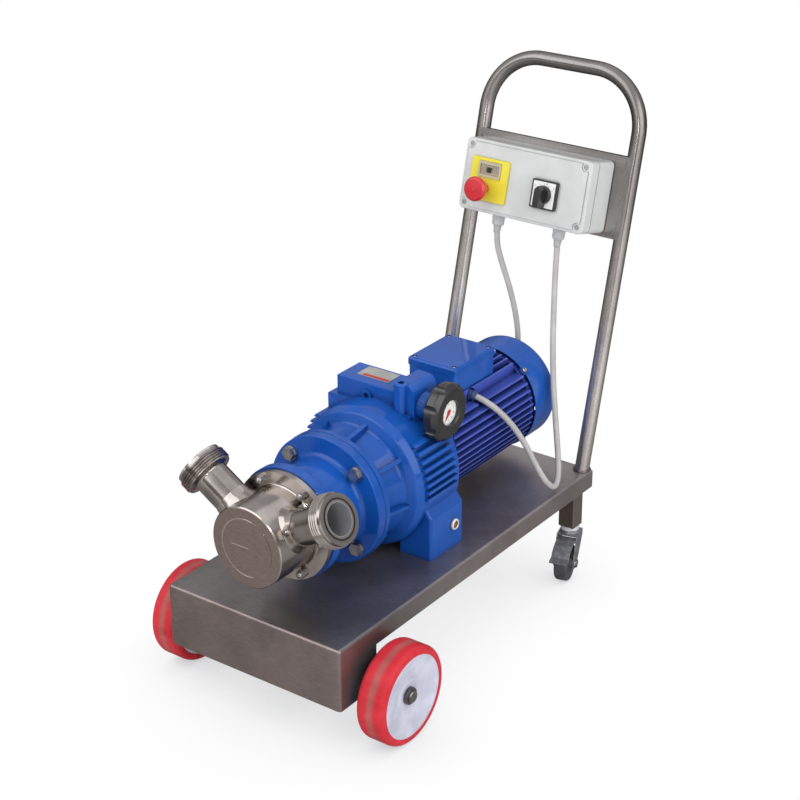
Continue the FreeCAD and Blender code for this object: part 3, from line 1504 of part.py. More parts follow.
def make_terminal_lid():
    edge = terminal_lid_overhang
    half = terminal_width / 2 + edge
    low = axis_z + terminal_top
    lid = box(terminal_offset - half, terminal_offset + half, terminal_y - edge,
              terminal_y + terminal_length + edge, low, low + terminal_lid_height)
    upright = [e for e in lid.Edges if e.BoundBox.ZLength > 5]
    lid = lid.makeFillet(terminal_round, upright)
    upper = low + terminal_lid_height - small
    lid = lid.makeFillet(terminal_round - 1, [e for e in lid.Edges if e.BoundBox.ZMin > upper])
    for sx in (-1, 1):
        for y in (terminal_y + terminal_screw_inset, terminal_y + terminal_length - terminal_screw_inset):
            x = terminal_offset + sx * (half - edge - terminal_screw_inset)
            lid = lid.cut(rod(V(x, y, low + terminal_lid_height - terminal_screw_depth), Z_AXIS,
                              terminal_screw_radius, terminal_screw_depth + 1))
    return lid


def tube_on_route(points):
    """Cable of straight runs joined by tangent arcs, as large as the two runs allow."""
    edges = []
    radii = []
    place = points[0]
    for i in range(1, len(points) - 1):
        back = (points[i - 1] - points[i])
        ahead = (points[i + 1] - points[i])
        run = min(back.Length, ahead.Length)
        back.normalize()
        ahead.normalize()
        half_turn = (math.pi - math.acos(max(-1.0, min(1.0, back.dot(ahead))))) / 2
        reach = 0.45 * run
        radius = reach / math.tan(half_turn)
        radii.append(radius)
        entry = points[i] + back * reach
        leave = points[i] + ahead * reach
        bisector = (back + ahead).normalize()
        middle = points[i] + bisector * (math.hypot(radius, reach) - radius)
        edges.append(Part.LineSegment(place, entry).toShape())
        edges.append(Part.Arc(entry, middle, leave).toShape())
        place = leave
    edges.append(Part.LineSegment(place, points[-1]).toShape())
    path = Part.Wire(edges)
    section = Part.Wire(Part.makeCircle(cable_radius, points[0], points[1] - points[0]))
    tube = path.makePipeShell([section], True, True)
    expected = math.pi * cable_radius ** 2 * path.Length
    print("cable length %.0f, least radius %.0f, volume ratio %.4f"
          % (path.Length, min(radii), tube.Volume / expected), "radii", [round(r) for r in radii])
    return tube


# Cables: the routes are lists of points. Y is measured back from the deck's front edge
def route(points):
    return [V(x, deck_front + y, z) for x, y, z in points]


def make_motor_cable():
    """From the switch box down beside the motor, over the deck and up to the terminal box."""
    start = gland_mouth(gland_right_x)
    end = V(terminal_side + terminal_gland_length, terminal_gland_y, terminal_gland_z)
    middle = route([(60, 747, 545), (64, 738, 505), (72, 724, 455), (83, 706, 400), (97, 688, 345),
                    (114, 670, 292), (132, 651, 245), (149, 630, 208), (157, 606, 191), (151, 584, 212),
                    (136, 574, 246), (121, 565, 283), (106, 548, 320), (91, 529, 349), (77, 514, 367)])
    return tube_on_route([start] + middle + [end])


def make_supply_cable():
    """From the switch box down behind the motor to the coil, and on from the coil to the plug."""
    start = gland_mouth(gland_left_x)
    middle = route([(-60, 745, 545), (-48, 743, 513), (-33, 744, 475), (-20, 746, 430), (-12, 747, 382),
                    (-14, 745, 332), (-28, 740, 287), (-48, 733, 248), (-68, 723, 216),
                    (-89, 709.5, 197), (-111, 693.5, 191.4), (-133.8, 676.8, 191)])
    tail = route([(-136, 638, 218), (-136.5, 616, 221.5), (-135.5, 591, 222), (-135, 565, 220.4)])
    plug_end = V(plug_x, deck_front + plug_front + plug_length, deck_top + plug_radius)
    return tube_on_route([start] + middle), tube_on_route(tail + [plug_end])


def make_supply_coil():
    """Outer shape of the coiled cable: flat layers of turns on top of each other."""
    inner = coil_turn_radius - (coil_turns + 1) * cable_radius
    outer = coil_turn_radius + (coil_turns + 1) * cable_radius
    height = 2 * coil_layers * cable_radius
    profile = [(inner, 0, cable_radius), (outer, 0, cable_radius), (outer, height, cable_radius),
               (inner, height, cable_radius)]
    return turned(profile, V(coil_x, deck_front + coil_back, deck_top), Z_AXIS)


def make_supply_plug():
    """Round industrial plug lying on the deck, with its open mouth towards the pump."""
    r = plug_radius
    length = plug_length
    collar = plug_mouth + plug_collar
    profile = [(0, plug_mouth), (r - 3, plug_mouth), (r - 3, 0), (r, 0), (r, collar, 2),
               (r - plug_collar_step, collar + 6, 3), (r - plug_body_step, plug_grip, 8),
               (r / 2, plug_grip + 12, 4), (r / 2 - 3, length, 2),
               (0, length)]
    plug = turned(profile, V(plug_x, deck_front + plug_front, deck_top + r), Y_AXIS)
    pins = []
    for i in range(plug_pins):
        a = math.radians(90 + 360.0 * i / plug_pins)
        place = V(plug_x + 0.5 * r * math.cos(a), deck_front + plug_front + 4,
                  deck_top + r + 0.5 * r * math.sin(a))
        pins.append(rod(place, Y_AXIS, plug_pin_radius, plug_mouth))
    return joined(plug, *pins)


save("deck", make_deck())
save("deck_brackets", *make_deck_brackets())
save("rear_legs", *make_rear_legs())
save("front_axle", make_front_axle())
cap = make_axle_cap()
save("axle_caps", cap, mirrored(cap))
tyre = make_tyre()
hub = make_wheel_hub()
save("tyre_right", tyre)
save("tyre_left", mirrored(tyre))
save("wheel_hub_right", hub)
save("wheel_hub_left", mirrored(hub))
head = make_caster_head()
save("caster_heads", place_caster(head), place_left_caster(head))
for name, shape in (("caster_fork", make_caster_fork()), ("caster_axle", make_caster_axle()),
                    ("caster_wheel", make_caster_wheel()), ("brake_pedal", make_brake_pedal())):
    save(name + "_right", place_caster(shape))
    save(name + "_left", place_left_caster(shape))
save("handle_frame", make_handle_frame())
save("handle_crossplate", make_crossplate())
save("enclosure_base", make_enclosure_base())
save("enclosure_lid", make_enclosure_lid())
save("enclosure_screws", *make_enclosure_screws())
save("estop_plate", make_estop_plate())
save("starter_switch", make_starter_switch())
save("estop_button", make_estop_button())
save("selector_plate", make_selector_plate())
save("selector_knob", make_selector_knob())
save("cable_glands", *make_cable_glands())
save("motor_cable", make_motor_cable())
save("supply_cable", *make_supply_cable())
save("supply_coil", make_supply_coil())
save("supply_plug", make_supply_plug())
save("pump_body", make_pump_body())
save("inlet_port", make_port(-1))
save("outlet_port", make_port(1))
save("body_seal", make_body_seal())
save("body_nuts", *make_body_nuts())
save("back_plate", make_back_plate())
save("shaft_seal", make_shaft_seal())
save("impeller", make_impeller())
save("pump_shaft", make_pump_shaft())
save("lantern", make_lantern())
save("lantern_bolts", *make_lantern_bolts())
save("variator_housing", make_variator_housing())
save("oil_plugs", *make_oil_plugs())
save("foot_bolts", *make_foot_bolts())
save("speed_control_housing", make_speed_control_housing())
save("control_shaft", make_control_shaft())
save("handwheel", make_handwheel())
save("indicator_dial", make_indicator_dial())
save("indicator_pointer", make_indicator_pointer())
save("motor_front_shield", make_front_shield())
save("motor_frame", make_motor_frame())
save("motor_rear_shield", make_rear_shield())
save("motor_rotor", make_motor_rotor())
save("motor_fan", make_motor_fan())
save("fan_cover", make_fan_cover())
save("terminal_box", make_terminal_box())
save("terminal_lid", make_terminal_lid())
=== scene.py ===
import bmesh
import bpy
import math
from mathutils import Matrix, Vector

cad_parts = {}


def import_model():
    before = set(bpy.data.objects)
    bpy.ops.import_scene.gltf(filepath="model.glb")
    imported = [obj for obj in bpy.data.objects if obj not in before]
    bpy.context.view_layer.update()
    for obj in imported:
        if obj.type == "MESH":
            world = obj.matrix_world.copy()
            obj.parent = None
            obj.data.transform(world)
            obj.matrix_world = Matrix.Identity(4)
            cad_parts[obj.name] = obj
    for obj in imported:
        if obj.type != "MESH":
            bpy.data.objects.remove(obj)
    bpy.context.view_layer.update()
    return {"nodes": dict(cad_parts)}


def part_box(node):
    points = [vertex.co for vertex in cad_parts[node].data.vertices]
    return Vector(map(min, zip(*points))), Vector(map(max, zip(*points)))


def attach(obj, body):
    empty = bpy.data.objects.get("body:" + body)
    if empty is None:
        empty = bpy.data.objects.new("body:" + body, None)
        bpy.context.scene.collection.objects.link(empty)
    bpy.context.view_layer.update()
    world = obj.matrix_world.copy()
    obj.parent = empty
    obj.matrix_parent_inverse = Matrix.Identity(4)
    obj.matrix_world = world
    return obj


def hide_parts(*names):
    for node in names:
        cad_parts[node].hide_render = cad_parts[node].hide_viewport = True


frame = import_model()
nodes = frame["nodes"]

# Places shared with the part's source, in metres
mm = 0.001
deck_front = -0.440184
deck_top = 0.186
wheel_x = 0.204
axis_z = 0.306
port_y = deck_front + 0.045
inlet_axis = (-0.845262, 0, 0.534352)
outlet_axis = (0.888617, 0, 0.458650)
dial_x = 0.1134
control_y = deck_front + 0.3535
control_z = axis_z + 0.1139
motor_gland = Vector((0.059, deck_front + 0.512, 0.372))
handle_lean = math.radians(14.4)
handle_foot = Vector((0, deck_front + 0.7035, deck_top))
handle_reach = 0.1505
cable_radius = 0.005

# Places on the handle's slope, in millimetres: x across, y behind its plane, z up from the deck
box_z = 468.0
seam_y = -63.5
selector_x = 44.6
selector_front = -96.5
selector_z = 460.0
starter_x = -67.5
starter_z = 480.5
motor_gland_x = 59.0
supply_gland_x = -62.0
gland_depth = -49.5
gland_mouth_rise = 384.0

# The stored cable's coil on the deck, in millimetres, with y from the deck's front edge
coil_x = -94.0
coil_y = 622.0
coil_radius = 55.0

white = (1.0, 1.0, 1.0)


# Node helpers
def new_material(name):
    """An empty principled material: (material, tree, shader)."""
    material = bpy.data.materials.new(name)
    material.use_nodes = True
    tree = material.node_tree
    return material, tree, tree.nodes["Principled BSDF"]


def set_values(shader, **values):
    """Set values that are the same all over the surface, on the shader's own sockets."""
    names = {"color": "Base Color", "metallic": "Metallic", "roughness": "Roughness",
             "coat": "Coat Weight", "coat_roughness": "Coat Roughness",
             "specular": "Specular IOR Level", "edge_tint": "Specular Tint"}
    for key, value in values.items():
        socket = shader.inputs[names[key]]
        socket.default_value = (*value, 1) if isinstance(value, tuple) else value


def coordinates(tree, stretch=(1, 1, 1)):
    """Object coordinates, in metres, stretched along each axis."""
    source = tree.nodes.new("ShaderNodeTexCoord")
    mapping = tree.nodes.new("ShaderNodeMapping")
    mapping.inputs["Scale"].default_value = stretch
    tree.links.new(source.outputs["Object"], mapping.inputs["Vector"])
    return mapping.outputs["Vector"]


def noise(tree, scale, detail, stretch=(1, 1, 1)):
    """Noise from 0 to 1, with the scale in features per metre."""
    node = tree.nodes.new("ShaderNodeTexNoise")
    node.inputs["Scale"].default_value = scale
    node.inputs["Detail"].default_value = detail
    tree.links.new(coordinates(tree, stretch), node.inputs["Vector"])
    return node.outputs["Fac"]


def ramp(tree, value, stops):
    """Colour ramp. Stops are (position, colour)."""
    node = tree.nodes.new("ShaderNodeValToRGB")
    elements = node.color_ramp.elements
    while len(elements) < len(stops):
        elements.new(0.5)
    for element, (position, color) in zip(elements, stops):
        element.position = position
        element.color = (*color, 1)
    tree.links.new(value, node.inputs["Fac"])
    return node.outputs["Color"]


def connect(tree, value, socket):
    """Give a socket a number, a vector, a colour or the output of another node."""
    if isinstance(value, (int, float)):
        socket.default_value = value
    elif isinstance(value, tuple):
        socket.default_value = (*value, 1) if socket.type == "RGBA" else value
    else:
        tree.links.new(value, socket)


def math_node(tree, operation, *values):
    """Sum, product or another operation on up to three values."""
    node = tree.nodes.new("ShaderNodeMath")
    node.operation = operation
    for socket, value in zip(node.inputs, values):
        connect(tree, value, socket)
    return node.outputs["Value"]


def vector_node(tree, operation, *vectors):
    """Operation on one or two vectors: a node with a Vector and a Value output."""
    node = tree.nodes.new("ShaderNodeVectorMath")
    node.operation = operation
    for socket, vector in zip(node.inputs, vectors):
        connect(tree, vector, socket)
    return node


def spread(tree, value, low, high):
    """A 0 to 1 value mapped to low to high."""
    return math_node(tree, "MULTIPLY_ADD", value, high - low, low)


def bump(tree, shader, height, strength, distance):
    """Fine relief on the shader, with the distance in metres."""
    node = tree.nodes.new("ShaderNodeBump")
    node.inputs["Strength"].default_value = strength
    node.inputs["Distance"].default_value = distance
    tree.links.new(height, node.inputs["Height"])
    tree.links.new(node.outputs["Normal"], shader.inputs["Normal"])


def mix_color(tree, factor, a, b, mode="MIX"):
    """Blend of two colours, each a tuple or a socket."""
    node = tree.nodes.new("ShaderNodeMix")
    node.data_type = "RGBA"
    node.blend_type = mode
    # sockets 0, 6 and 7 are the factor and the two colours, and output 2 is the colour
    for index, value in ((0, factor), (6, a), (7, b)):
        connect(tree, value, node.inputs[index])
    return node.outputs[2]


def map_range(tree, value, low, high, smooth=False):
    """0 at low and 1 at high, which may be the smaller one, and no less or more outside."""
    node = tree.nodes.new("ShaderNodeMapRange")
    if smooth:
        node.interpolation_type = "SMOOTHSTEP"
    node.inputs["From Min"].default_value = low
    node.inputs["From Max"].default_value = high
    tree.links.new(value, node.inputs["Value"])
    return node.outputs["Result"]


def separate(tree, vector):
    """Outputs X, Y and Z of a vector."""
    node = tree.nodes.new("ShaderNodeSeparateXYZ")
    tree.links.new(vector, node.inputs["Vector"])
    return node.outputs


def axis_value(tree, axis):
    """One of the object coordinates, as a value."""
    return separate(tree, coordinates(tree))[axis]


def edge_wear(tree, low, high):
    """About 0 on flat surfaces and up to 1 on convex edges."""
    geometry = tree.nodes.new("ShaderNodeNewGeometry")
    return map_range(tree, geometry.outputs["Pointiness"], low, high)


def openness(tree, reach, samples):
    """0 deep in a recess and 1 on open surfaces, looking as far as reach."""
    node = tree.nodes.new("ShaderNodeAmbientOcclusion")
    node.samples = samples
    node.inputs["Distance"].default_value = reach
    return node.outputs["AO"]


def crevices(tree, reach, dark):
    """Painted shade in corners: dark in a recess and white on open surfaces."""
    return ramp(tree, openness(tree, reach, 6), [(0.30, (dark, dark, dark)), (0.80, white)])


# Materials
def satin_stainless(name, stretch, dark, light, roughness, metallic, contrast, painted_light_slopes, edge=1.0):
    """Brushed sheet or tube with fine grain and soft clouds.

    Each slope is a painted slow change of light and shade along an axis: (axis, start, end, first colour,
    last colour).
    """
    material, tree, shader = new_material(name)
    clouds = noise(tree, 9, 5)
    grain = noise(tree, 60, 4, stretch)
    color = ramp(tree, clouds, [(0.3, dark), (0.7, light)])
    streaks = ramp(tree, grain, [(0.3, (1 - contrast,) * 3), (0.7, (1 + 0.7 * contrast,) * 3)])
    color = mix_color(tree, 1.0, color, streaks, "MULTIPLY")
    # Painted light: the face at the deck's front edge is lighter and warmer.
    front = map_range(tree, axis_value(tree, "Y"), deck_front + 0.006, deck_front + 0.001)
    color = mix_color(tree, front, color, (1.18, 1.05, 1.03), "MULTIPLY")
    # Painted light and shade: each slope makes one end of the piece lighter or darker.
    for axis, start, end, first, last in painted_light_slopes:
        place = map_range(tree, axis_value(tree, axis), start, end, smooth=True)
        shade = ramp(tree, place, [(0.0, first), (1.0, last)])
        color = mix_color(tree, 1.0, color, shade, "MULTIPLY")
    tree.links.new(color, shader.inputs["Base Color"])
    tree.links.new(spread(tree, grain, roughness, roughness + 0.7 * contrast), shader.inputs["Roughness"])
    set_values(shader, metallic=metallic, edge_tint=(edge, edge, edge))
    bump(tree, shader, grain, 3.0 * contrast * contrast, 0.0004)
    return material


def port_place(tree, along):
    """Distance from a port's axis and place along it, for the port whose axis points along."""
    start = (0, port_y, axis_z)
    place = vector_node(tree, "SUBTRACT", coordinates(tree), start).outputs["Vector"]
    across = vector_node(tree, "CROSS_PRODUCT", place, along).outputs["Vector"]
    distance = vector_node(tree, "LENGTH", across).outputs["Value"]
    reach = vector_node(tree, "DOT_PRODUCT", place, along).outputs["Value"]
    return distance, reach


def within(tree, value, middle, half_width):
    """1 where the value is within half a width of the middle, and 0 elsewhere."""
    offset = math_node(tree, "ABSOLUTE", math_node(tree, "SUBTRACT", value, middle))
    return math_node(tree, "LESS_THAN", offset, half_width)


def nose_mark(tree):
    """1 on the polished half ring and the short line on the pump's nose, and 0 elsewhere."""
    ring_radius, ring_half_width, ring_end = 0.0475, 0.0010, 0.012
    line_middle, line_half_length, line_half_width = -0.0125, 0.0165, 0.0008
    place = separate(tree, coordinates(tree))
    height = math_node(tree, "SUBTRACT", place["Z"], axis_z)
    radius = math_node(tree, "SQRT", math_node(tree, "MULTIPLY_ADD", place["X"], place["X"],
                                               math_node(tree, "MULTIPLY", height, height)))
    ring = math_node(tree, "MULTIPLY", within(tree, radius, ring_radius, ring_half_width),
                     math_node(tree, "LESS_THAN", place["X"], ring_end))
    line = math_node(tree, "MULTIPLY", within(tree, height, 0.0, line_half_width),
                     within(tree, place["X"], line_middle, line_half_length))
    return math_node(tree, "MAXIMUM", ring, line)


def port_finish(tree, shader, steel, gloss):
    """Turned rings on the ends of the ports, with a painted highlight on the lip at the bore and painted
    shade in the groove beside it, and a greyer, duller bore: (colour, roughness).
    """
    bore_radius, rings_start, rings_scale, end_start = 0.0256, 0.025, 60.0, 0.1515
    inlet_off, inlet_out = port_place(tree, inlet_axis)
    outlet_off, outlet_out = port_place(tree, outlet_axis)
    off = math_node(tree, "MINIMUM", inlet_off, outlet_off)
    out = math_node(tree, "MAXIMUM", inlet_out, outlet_out)
    bore = math_node(tree, "LESS_THAN", off, bore_radius)
    end = math_node(tree, "GREATER_THAN", out, end_start)
    place = math_node(tree, "MULTIPLY_ADD", off, rings_scale, -rings_scale * rings_start)
    # Painted highlight on the bore's lip and painted shade in the groove beside it.
    highlight_lip, shaded_groove = (0.66, 0.63, 0.61), (0.14, 0.13, 0.125)
    rings = ramp(tree, place, [(0.0, highlight_lip), (0.21, highlight_lip), (0.24, shaded_groove), (0.38, shaded_groove),
                               (0.41, (0.50, 0.465, 0.445)), (0.80, (0.60, 0.565, 0.545))])
    steel = mix_color(tree, end, steel, rings)
    steel = mix_color(tree, bore, steel, (0.33, 0.33, 0.35))
    gloss = math_node(tree, "MULTIPLY_ADD", bore, 0.3, gloss)
    tree.links.new(math_node(tree, "MULTIPLY_ADD", bore, -0.7, 1.0), shader.inputs["Metallic"])
    return steel, gloss


def polished_stainless(name, dark, light, bored=False):
    """Polished steel with smears and fine scratches, and a brushed, browner face on the nose."""
    material, tree, shader = new_material(name)
    smears = noise(tree, 26, 5)
    scratches = noise(tree, 300, 2, (1, 0.15, 1))
    brushed = noise(tree, 90, 4, (1, 1, 9))
    nose = map_range(tree, axis_value(tree, "Y"), deck_front - 0.0024, deck_front - 0.0028)
    polished = ramp(tree, smears, [(0.3, dark), (0.7, light)])
    satin = ramp(tree, brushed, [(0.3, (0.29, 0.230, 0.203)), (0.7, (0.41, 0.336, 0.300))])
    satin = mix_color(tree, nose_mark(tree), satin, (0.74, 0.66, 0.60))
    steel = mix_color(tree, nose, polished, satin)
    gloss = math_node(tree, "MULTIPLY_ADD", nose, 0.22, spread(tree, smears, 0.10, 0.24))
    set_values(shader, metallic=1.0)
    if bored:
        steel, gloss = port_finish(tree, shader, steel, gloss)
    tree.links.new(steel, shader.inputs["Base Color"])
    tree.links.new(gloss, shader.inputs["Roughness"])
    bump(tree, shader, scratches, 0.05, 0.0002)
    return material


def cast_paint(name, color, shade, roughness, wear_and_highlight=0.35):
    """Glossy paint over cast metal: fine orange peel, slow colour change, paler edges that are partly wear
    and partly a painted highlight, and painted shade in its corners.
    """
    material, tree, shader = new_material(name)
    slow = noise(tree, 14, 4)
    base = ramp(tree, slow, [(0.3, shade), (0.7, color)])
    # Paler convex edges: partly paint worn through, partly a painted highlight.
    worn = math_node(tree, "MULTIPLY", edge_wear(tree, 0.56, 0.66), wear_and_highlight)
    pale = tuple(min(1.0, 1.6 * c + 0.02) for c in color)
    # Painted shade in the paint's corners and recesses.
    corner_shaded_paint = crevices(tree, 0.016, 0.34)
    painted = mix_color(tree, 1.0, mix_color(tree, worn, base, pale), corner_shaded_paint, "MULTIPLY")
    tree.links.new(painted, shader.inputs["Base Color"])
    tree.links.new(spread(tree, slow, roughness, roughness + 0.14), shader.inputs["Roughness"])
    set_values(shader, coat=0.55, coat_roughness=0.05, specular=0.12)
    peel = noise(tree, 420, 2)
    bump(tree, shader, peel, 0.22, 0.0004)
    return material


def moulded(name, color, shade, roughness, grain=900, depth=0.1, coat=0.0, dust=0.0, painted_shade_depth=1.0):
    """Moulded plastic with a fine skin and a slow change of shade.

    The dust argument is how much darker it gets, in streaks, where it faces up, and the last argument how
    dark the painted shade in its corners is, with 1 for none.
    """
    material, tree, shader = new_material(name)
    slow = noise(tree, 30, 3)
    tint = ramp(tree, slow, [(0.3, shade), (0.7, color)])
    # Darker, in streaks, on faces that point up.
    if dust:
        source = tree.nodes.new("ShaderNodeTexCoord")
        upward = separate(tree, source.outputs["Normal"])["Z"]
        darker_facing_up = math_node(tree, "MULTIPLY", map_range(tree, upward, 0.6, 0.95, smooth=True),
                            spread(tree, noise(tree, 55, 4, (0.3, 1, 1)), 0.5 * dust, dust))
        tint = mix_color(tree, darker_facing_up, tint, (0.20, 0.195, 0.19))
    # Painted shade in the corners.
    if painted_shade_depth < 1.0:
        tint = mix_color(tree, 1.0, tint, crevices(tree, 0.007, painted_shade_depth), "MULTIPLY")
    tree.links.new(tint, shader.inputs["Base Color"])
    tree.links.new(spread(tree, slow, roughness, roughness + 0.12), shader.inputs["Roughness"])
    set_values(shader, coat=coat, coat_roughness=0.1)
    bump(tree, shader, noise(tree, grain, 2), depth, 0.0003)
    return material


def bare_metal(name, color, shade, roughness, metallic=1.0, scale=120):
    """Zinc, turned steel or brass with a slightly uneven surface."""
    material, tree, shader = new_material(name)
    spots = noise(tree, scale, 4)
    tree.links.new(ramp(tree, spots, [(0.35, shade), (0.65, color)]), shader.inputs["Base Color"])
    tree.links.new(spread(tree, spots, roughness, roughness + 0.18), shader.inputs["Roughness"])
    set_values(shader, metallic=metallic)
    bump(tree, shader, spots, 0.1, 0.0003)
    return material


def tread_rubber(name):
    """Red wheel tread with a worn, dusty brown-grey line around its middle."""
    material, tree, shader = new_material(name)
    across = math_node(tree, "SUBTRACT", math_node(tree, "ABSOLUTE", axis_value(tree, "X")), wheel_x)
    patches = noise(tree, 42, 5, (0.6, 1, 1))
    streaks = noise(tree, 70, 3, (6, 1, 1))
    waver = spread(tree, patches, -0.005, 0.002)
    distance = math_node(tree, "ABSOLUTE", math_node(tree, "ADD", across, waver))
    line = map_range(tree, distance, 0.0085, 0.0025)
    red = ramp(tree, patches, [(0.3, (0.48, 0.012, 0.022)), (0.7, (0.64, 0.028, 0.042))])
    dust = ramp(tree, patches, [(0.3, (0.26, 0.085, 0.070)), (0.7, (0.40, 0.14, 0.125))])
    amount = math_node(tree, "MULTIPLY", line, spread(tree, streaks, 0.45, 1.0))
    tree.links.new(mix_color(tree, amount, red, dust), shader.inputs["Base Color"])
    tree.links.new(spread(tree, patches, 0.40, 0.60), shader.inputs["Roughness"])
    set_values(shader, specular=0.28)
    bump(tree, shader, noise(tree, 260, 3), 0.15, 0.0005)
    return material


def two_tone(name, axis, edge, below, above, roughness):
    """Moulded plastic that changes colour at one place along an axis: two parts of one node."""
    material, tree, shader = new_material(name)
    slow = noise(tree, 30, 3)
    side = map_range(tree, axis_value(tree, axis), edge - 0.0002, edge + 0.0002)
    tone = ramp(tree, slow, [(0.3, (0.86, 0.86, 0.86)), (0.7, white)])
    color = mix_color(tree, side, below, above)
    tree.links.new(mix_color(tree, 1.0, color, tone, "MULTIPLY"), shader.inputs["Base Color"])
    tree.links.new(spread(tree, slow, roughness, roughness + 0.12), shader.inputs["Roughness"])
    bump(tree, shader, noise(tree, 700, 2), 0.1, 0.0003)
    return material


def paint_node(material, *names):
    """Give CAD nodes a material."""
    for name in names:
        data = nodes[name].data
        data.materials.clear()
        data.materials.append(material)


# Painted light: the deck gets lighter towards its rear, and its front face lighter and warmer.
deck_steel = satin_stainless(
    "deck_steel", (1, 12, 12), (0.175, 0.160, 0.156), (0.275, 0.254, 0.248), 0.30, 0.85, 0.20,
    [("Y", deck_front + 0.06, deck_front + 0.50, white, (1.75, 1.70, 1.72))])
# Painted light and shade: the handle is darker towards its top and lighter towards its left side.
tube_steel = satin_stainless(
    "tube_steel", (6, 6, 0.6), (0.36, 0.34, 0.33), (0.52, 0.495, 0.48), 0.24, 0.93, 0.05,
    [("Z", 0.22, 0.84, (1.45, 1.45, 1.46), (0.48, 0.475, 0.47)),
     ("X", -0.16, 0.12, (1.35, 1.36, 1.38), white)], edge=0.35)
# Painted light: the right leg is a little lighter than the left.
leg_steel = satin_stainless(
    "leg_steel", (6, 6, 0.6), (0.27, 0.238, 0.225), (0.40, 0.355, 0.338), 0.30, 0.93, 0.12,
    [("X", -0.17, 0.17, white, (1.1, 1.08, 1.06))])
bright_steel = polished_stainless("polished_steel", (0.34, 0.305, 0.28), (0.52, 0.48, 0.45))
port_steel = polished_stainless("port_steel", (0.24, 0.215, 0.20), (0.42, 0.39, 0.37), bored=True)
blue = cast_paint("blue_paint", (0.006, 0.084, 0.400), (0.004, 0.065, 0.325), 0.30)
# Painted highlight: the motor's convex fin edges are made much paler.
motor_blue = cast_paint("motor_paint", (0.034, 0.062, 0.33), (0.022, 0.043, 0.245), 0.30, wear_and_highlight=0.8)
tread = tread_rubber("red_tread")
hub_plastic = moulded("hub_plastic", (0.60, 0.61, 0.72), (0.44, 0.445, 0.54), 0.38)
caster_rubber = moulded("caster_rubber", (0.105, 0.10, 0.11), (0.060, 0.058, 0.064), 0.42)
# Painted shade in the box's corners and along its step lines, and darker where its faces point up.
box_plastic = moulded("box_plastic", (0.60, 0.61, 0.60), (0.53, 0.545, 0.535), 0.42, dust=0.75,
                      painted_shade_depth=0.22)
screw_plastic = moulded("screw_plastic", (0.36, 0.36, 0.36), (0.28, 0.28, 0.28), 0.34)
gland_plastic = two_tone("gland_plastic", "Z", 0.45, (0.045, 0.075, 0.20), (0.54, 0.545, 0.54), 0.40)
yellow_plastic = moulded("yellow_plastic", (0.78, 0.68, 0.045), (0.70, 0.60, 0.030), 0.32)
beige_plastic = moulded("beige_plastic", (0.50, 0.47, 0.33), (0.40, 0.37, 0.26), 0.36)
window_plastic = moulded("window_plastic", (0.40, 0.34, 0.26), (0.28, 0.23, 0.17), 0.2, coat=0.5)
red_plastic = moulded("red_plastic", (0.60, 0.012, 0.022), (0.50, 0.008, 0.015), 0.26, coat=0.5)
black_plastic = moulded("black_plastic", (0.020, 0.020, 0.022), (0.012, 0.012, 0.013), 0.26, grain=500,
                        coat=0.35)
cap_plastic = moulded("cap_plastic", (0.10, 0.088, 0.088), (0.040, 0.036, 0.038), 0.42, grain=200,
                      depth=0.4)
white_plastic = moulded("white_plastic", (0.80, 0.80, 0.78), (0.72, 0.72, 0.70), 0.35)
print_black = moulded("print_black", (0.03, 0.03, 0.03), (0.02, 0.02, 0.02), 0.5)
print_red = moulded("print_red", (0.52, 0.040, 0.025), (0.42, 0.028, 0.018), 0.4)
plate_grey = bare_metal("plate_grey", (0.46, 0.46, 0.45), (0.36, 0.36, 0.35), 0.34, 0.35, 60)
plug_plastic = two_tone("plug_plastic", "Y", deck_front + 0.466, (0.50, 0.015, 0.012),
                        (0.24, 0.24, 0.25), 0.36)
cable_sheath = moulded("cable_sheath", (0.47, 0.455, 0.445), (0.39, 0.375, 0.365), 0.45, grain=700)
rubber = moulded("black_rubber", (0.030, 0.030, 0.030), (0.018, 0.018, 0.018), 0.6)
zinc = bare_metal("zinc", (0.48, 0.47, 0.46), (0.32, 0.31, 0.30), 0.24)
weld_steel = bare_metal("weld_steel", (0.30, 0.265, 0.235), (0.17, 0.15, 0.135), 0.30, 1.0, 300)
dark_steel = bare_metal("dark_steel", (0.27, 0.275, 0.295), (0.16, 0.163, 0.175), 0.28, 0.35)
bright_zinc = bare_metal("bright_zinc", (0.86, 0.87, 0.88), (0.66, 0.67, 0.68), 0.30, 0.45)
turned_steel = bare_metal("turned_steel", (0.30, 0.28, 0.26), (0.20, 0.19, 0.18), 0.3)
brass = bare_metal("brass", (0.62, 0.36, 0.16), (0.45, 0.24, 0.10), 0.24)

paint_node(deck_steel, "deck", "deck_brackets")
paint_node(tube_steel, "handle_frame", "handle_crossplate")
paint_node(leg_steel, "rear_legs")
paint_node(bright_steel, "pump_body", "back_plate", "pump_shaft")
paint_node(port_steel, "inlet_port", "outlet_port")
paint_node(blue, "lantern", "variator_housing", "speed_control_housing", "fan_cover", "terminal_box",
           "terminal_lid")
paint_node(motor_blue, "motor_front_shield", "motor_frame", "motor_rear_shield")
paint_node(tread, "tyre_left", "tyre_right")
paint_node(hub_plastic, "wheel_hub_left", "wheel_hub_right")
paint_node(caster_rubber, "caster_wheel_left", "caster_wheel_right")
paint_node(box_plastic, "enclosure_base", "enclosure_lid")
paint_node(screw_plastic, "enclosure_screws")
paint_node(gland_plastic, "cable_glands")
paint_node(plug_plastic, "supply_plug")
paint_node(yellow_plastic, "estop_plate")
paint_node(beige_plastic, "starter_switch")
paint_node(red_plastic, "estop_button", "indicator_pointer")
paint_node(black_plastic, "selector_plate", "selector_knob", "handwheel", "motor_fan")
paint_node(cap_plastic, "axle_caps")
paint_node(white_plastic, "indicator_dial")
paint_node(rubber, "body_seal", "shaft_seal", "impeller")
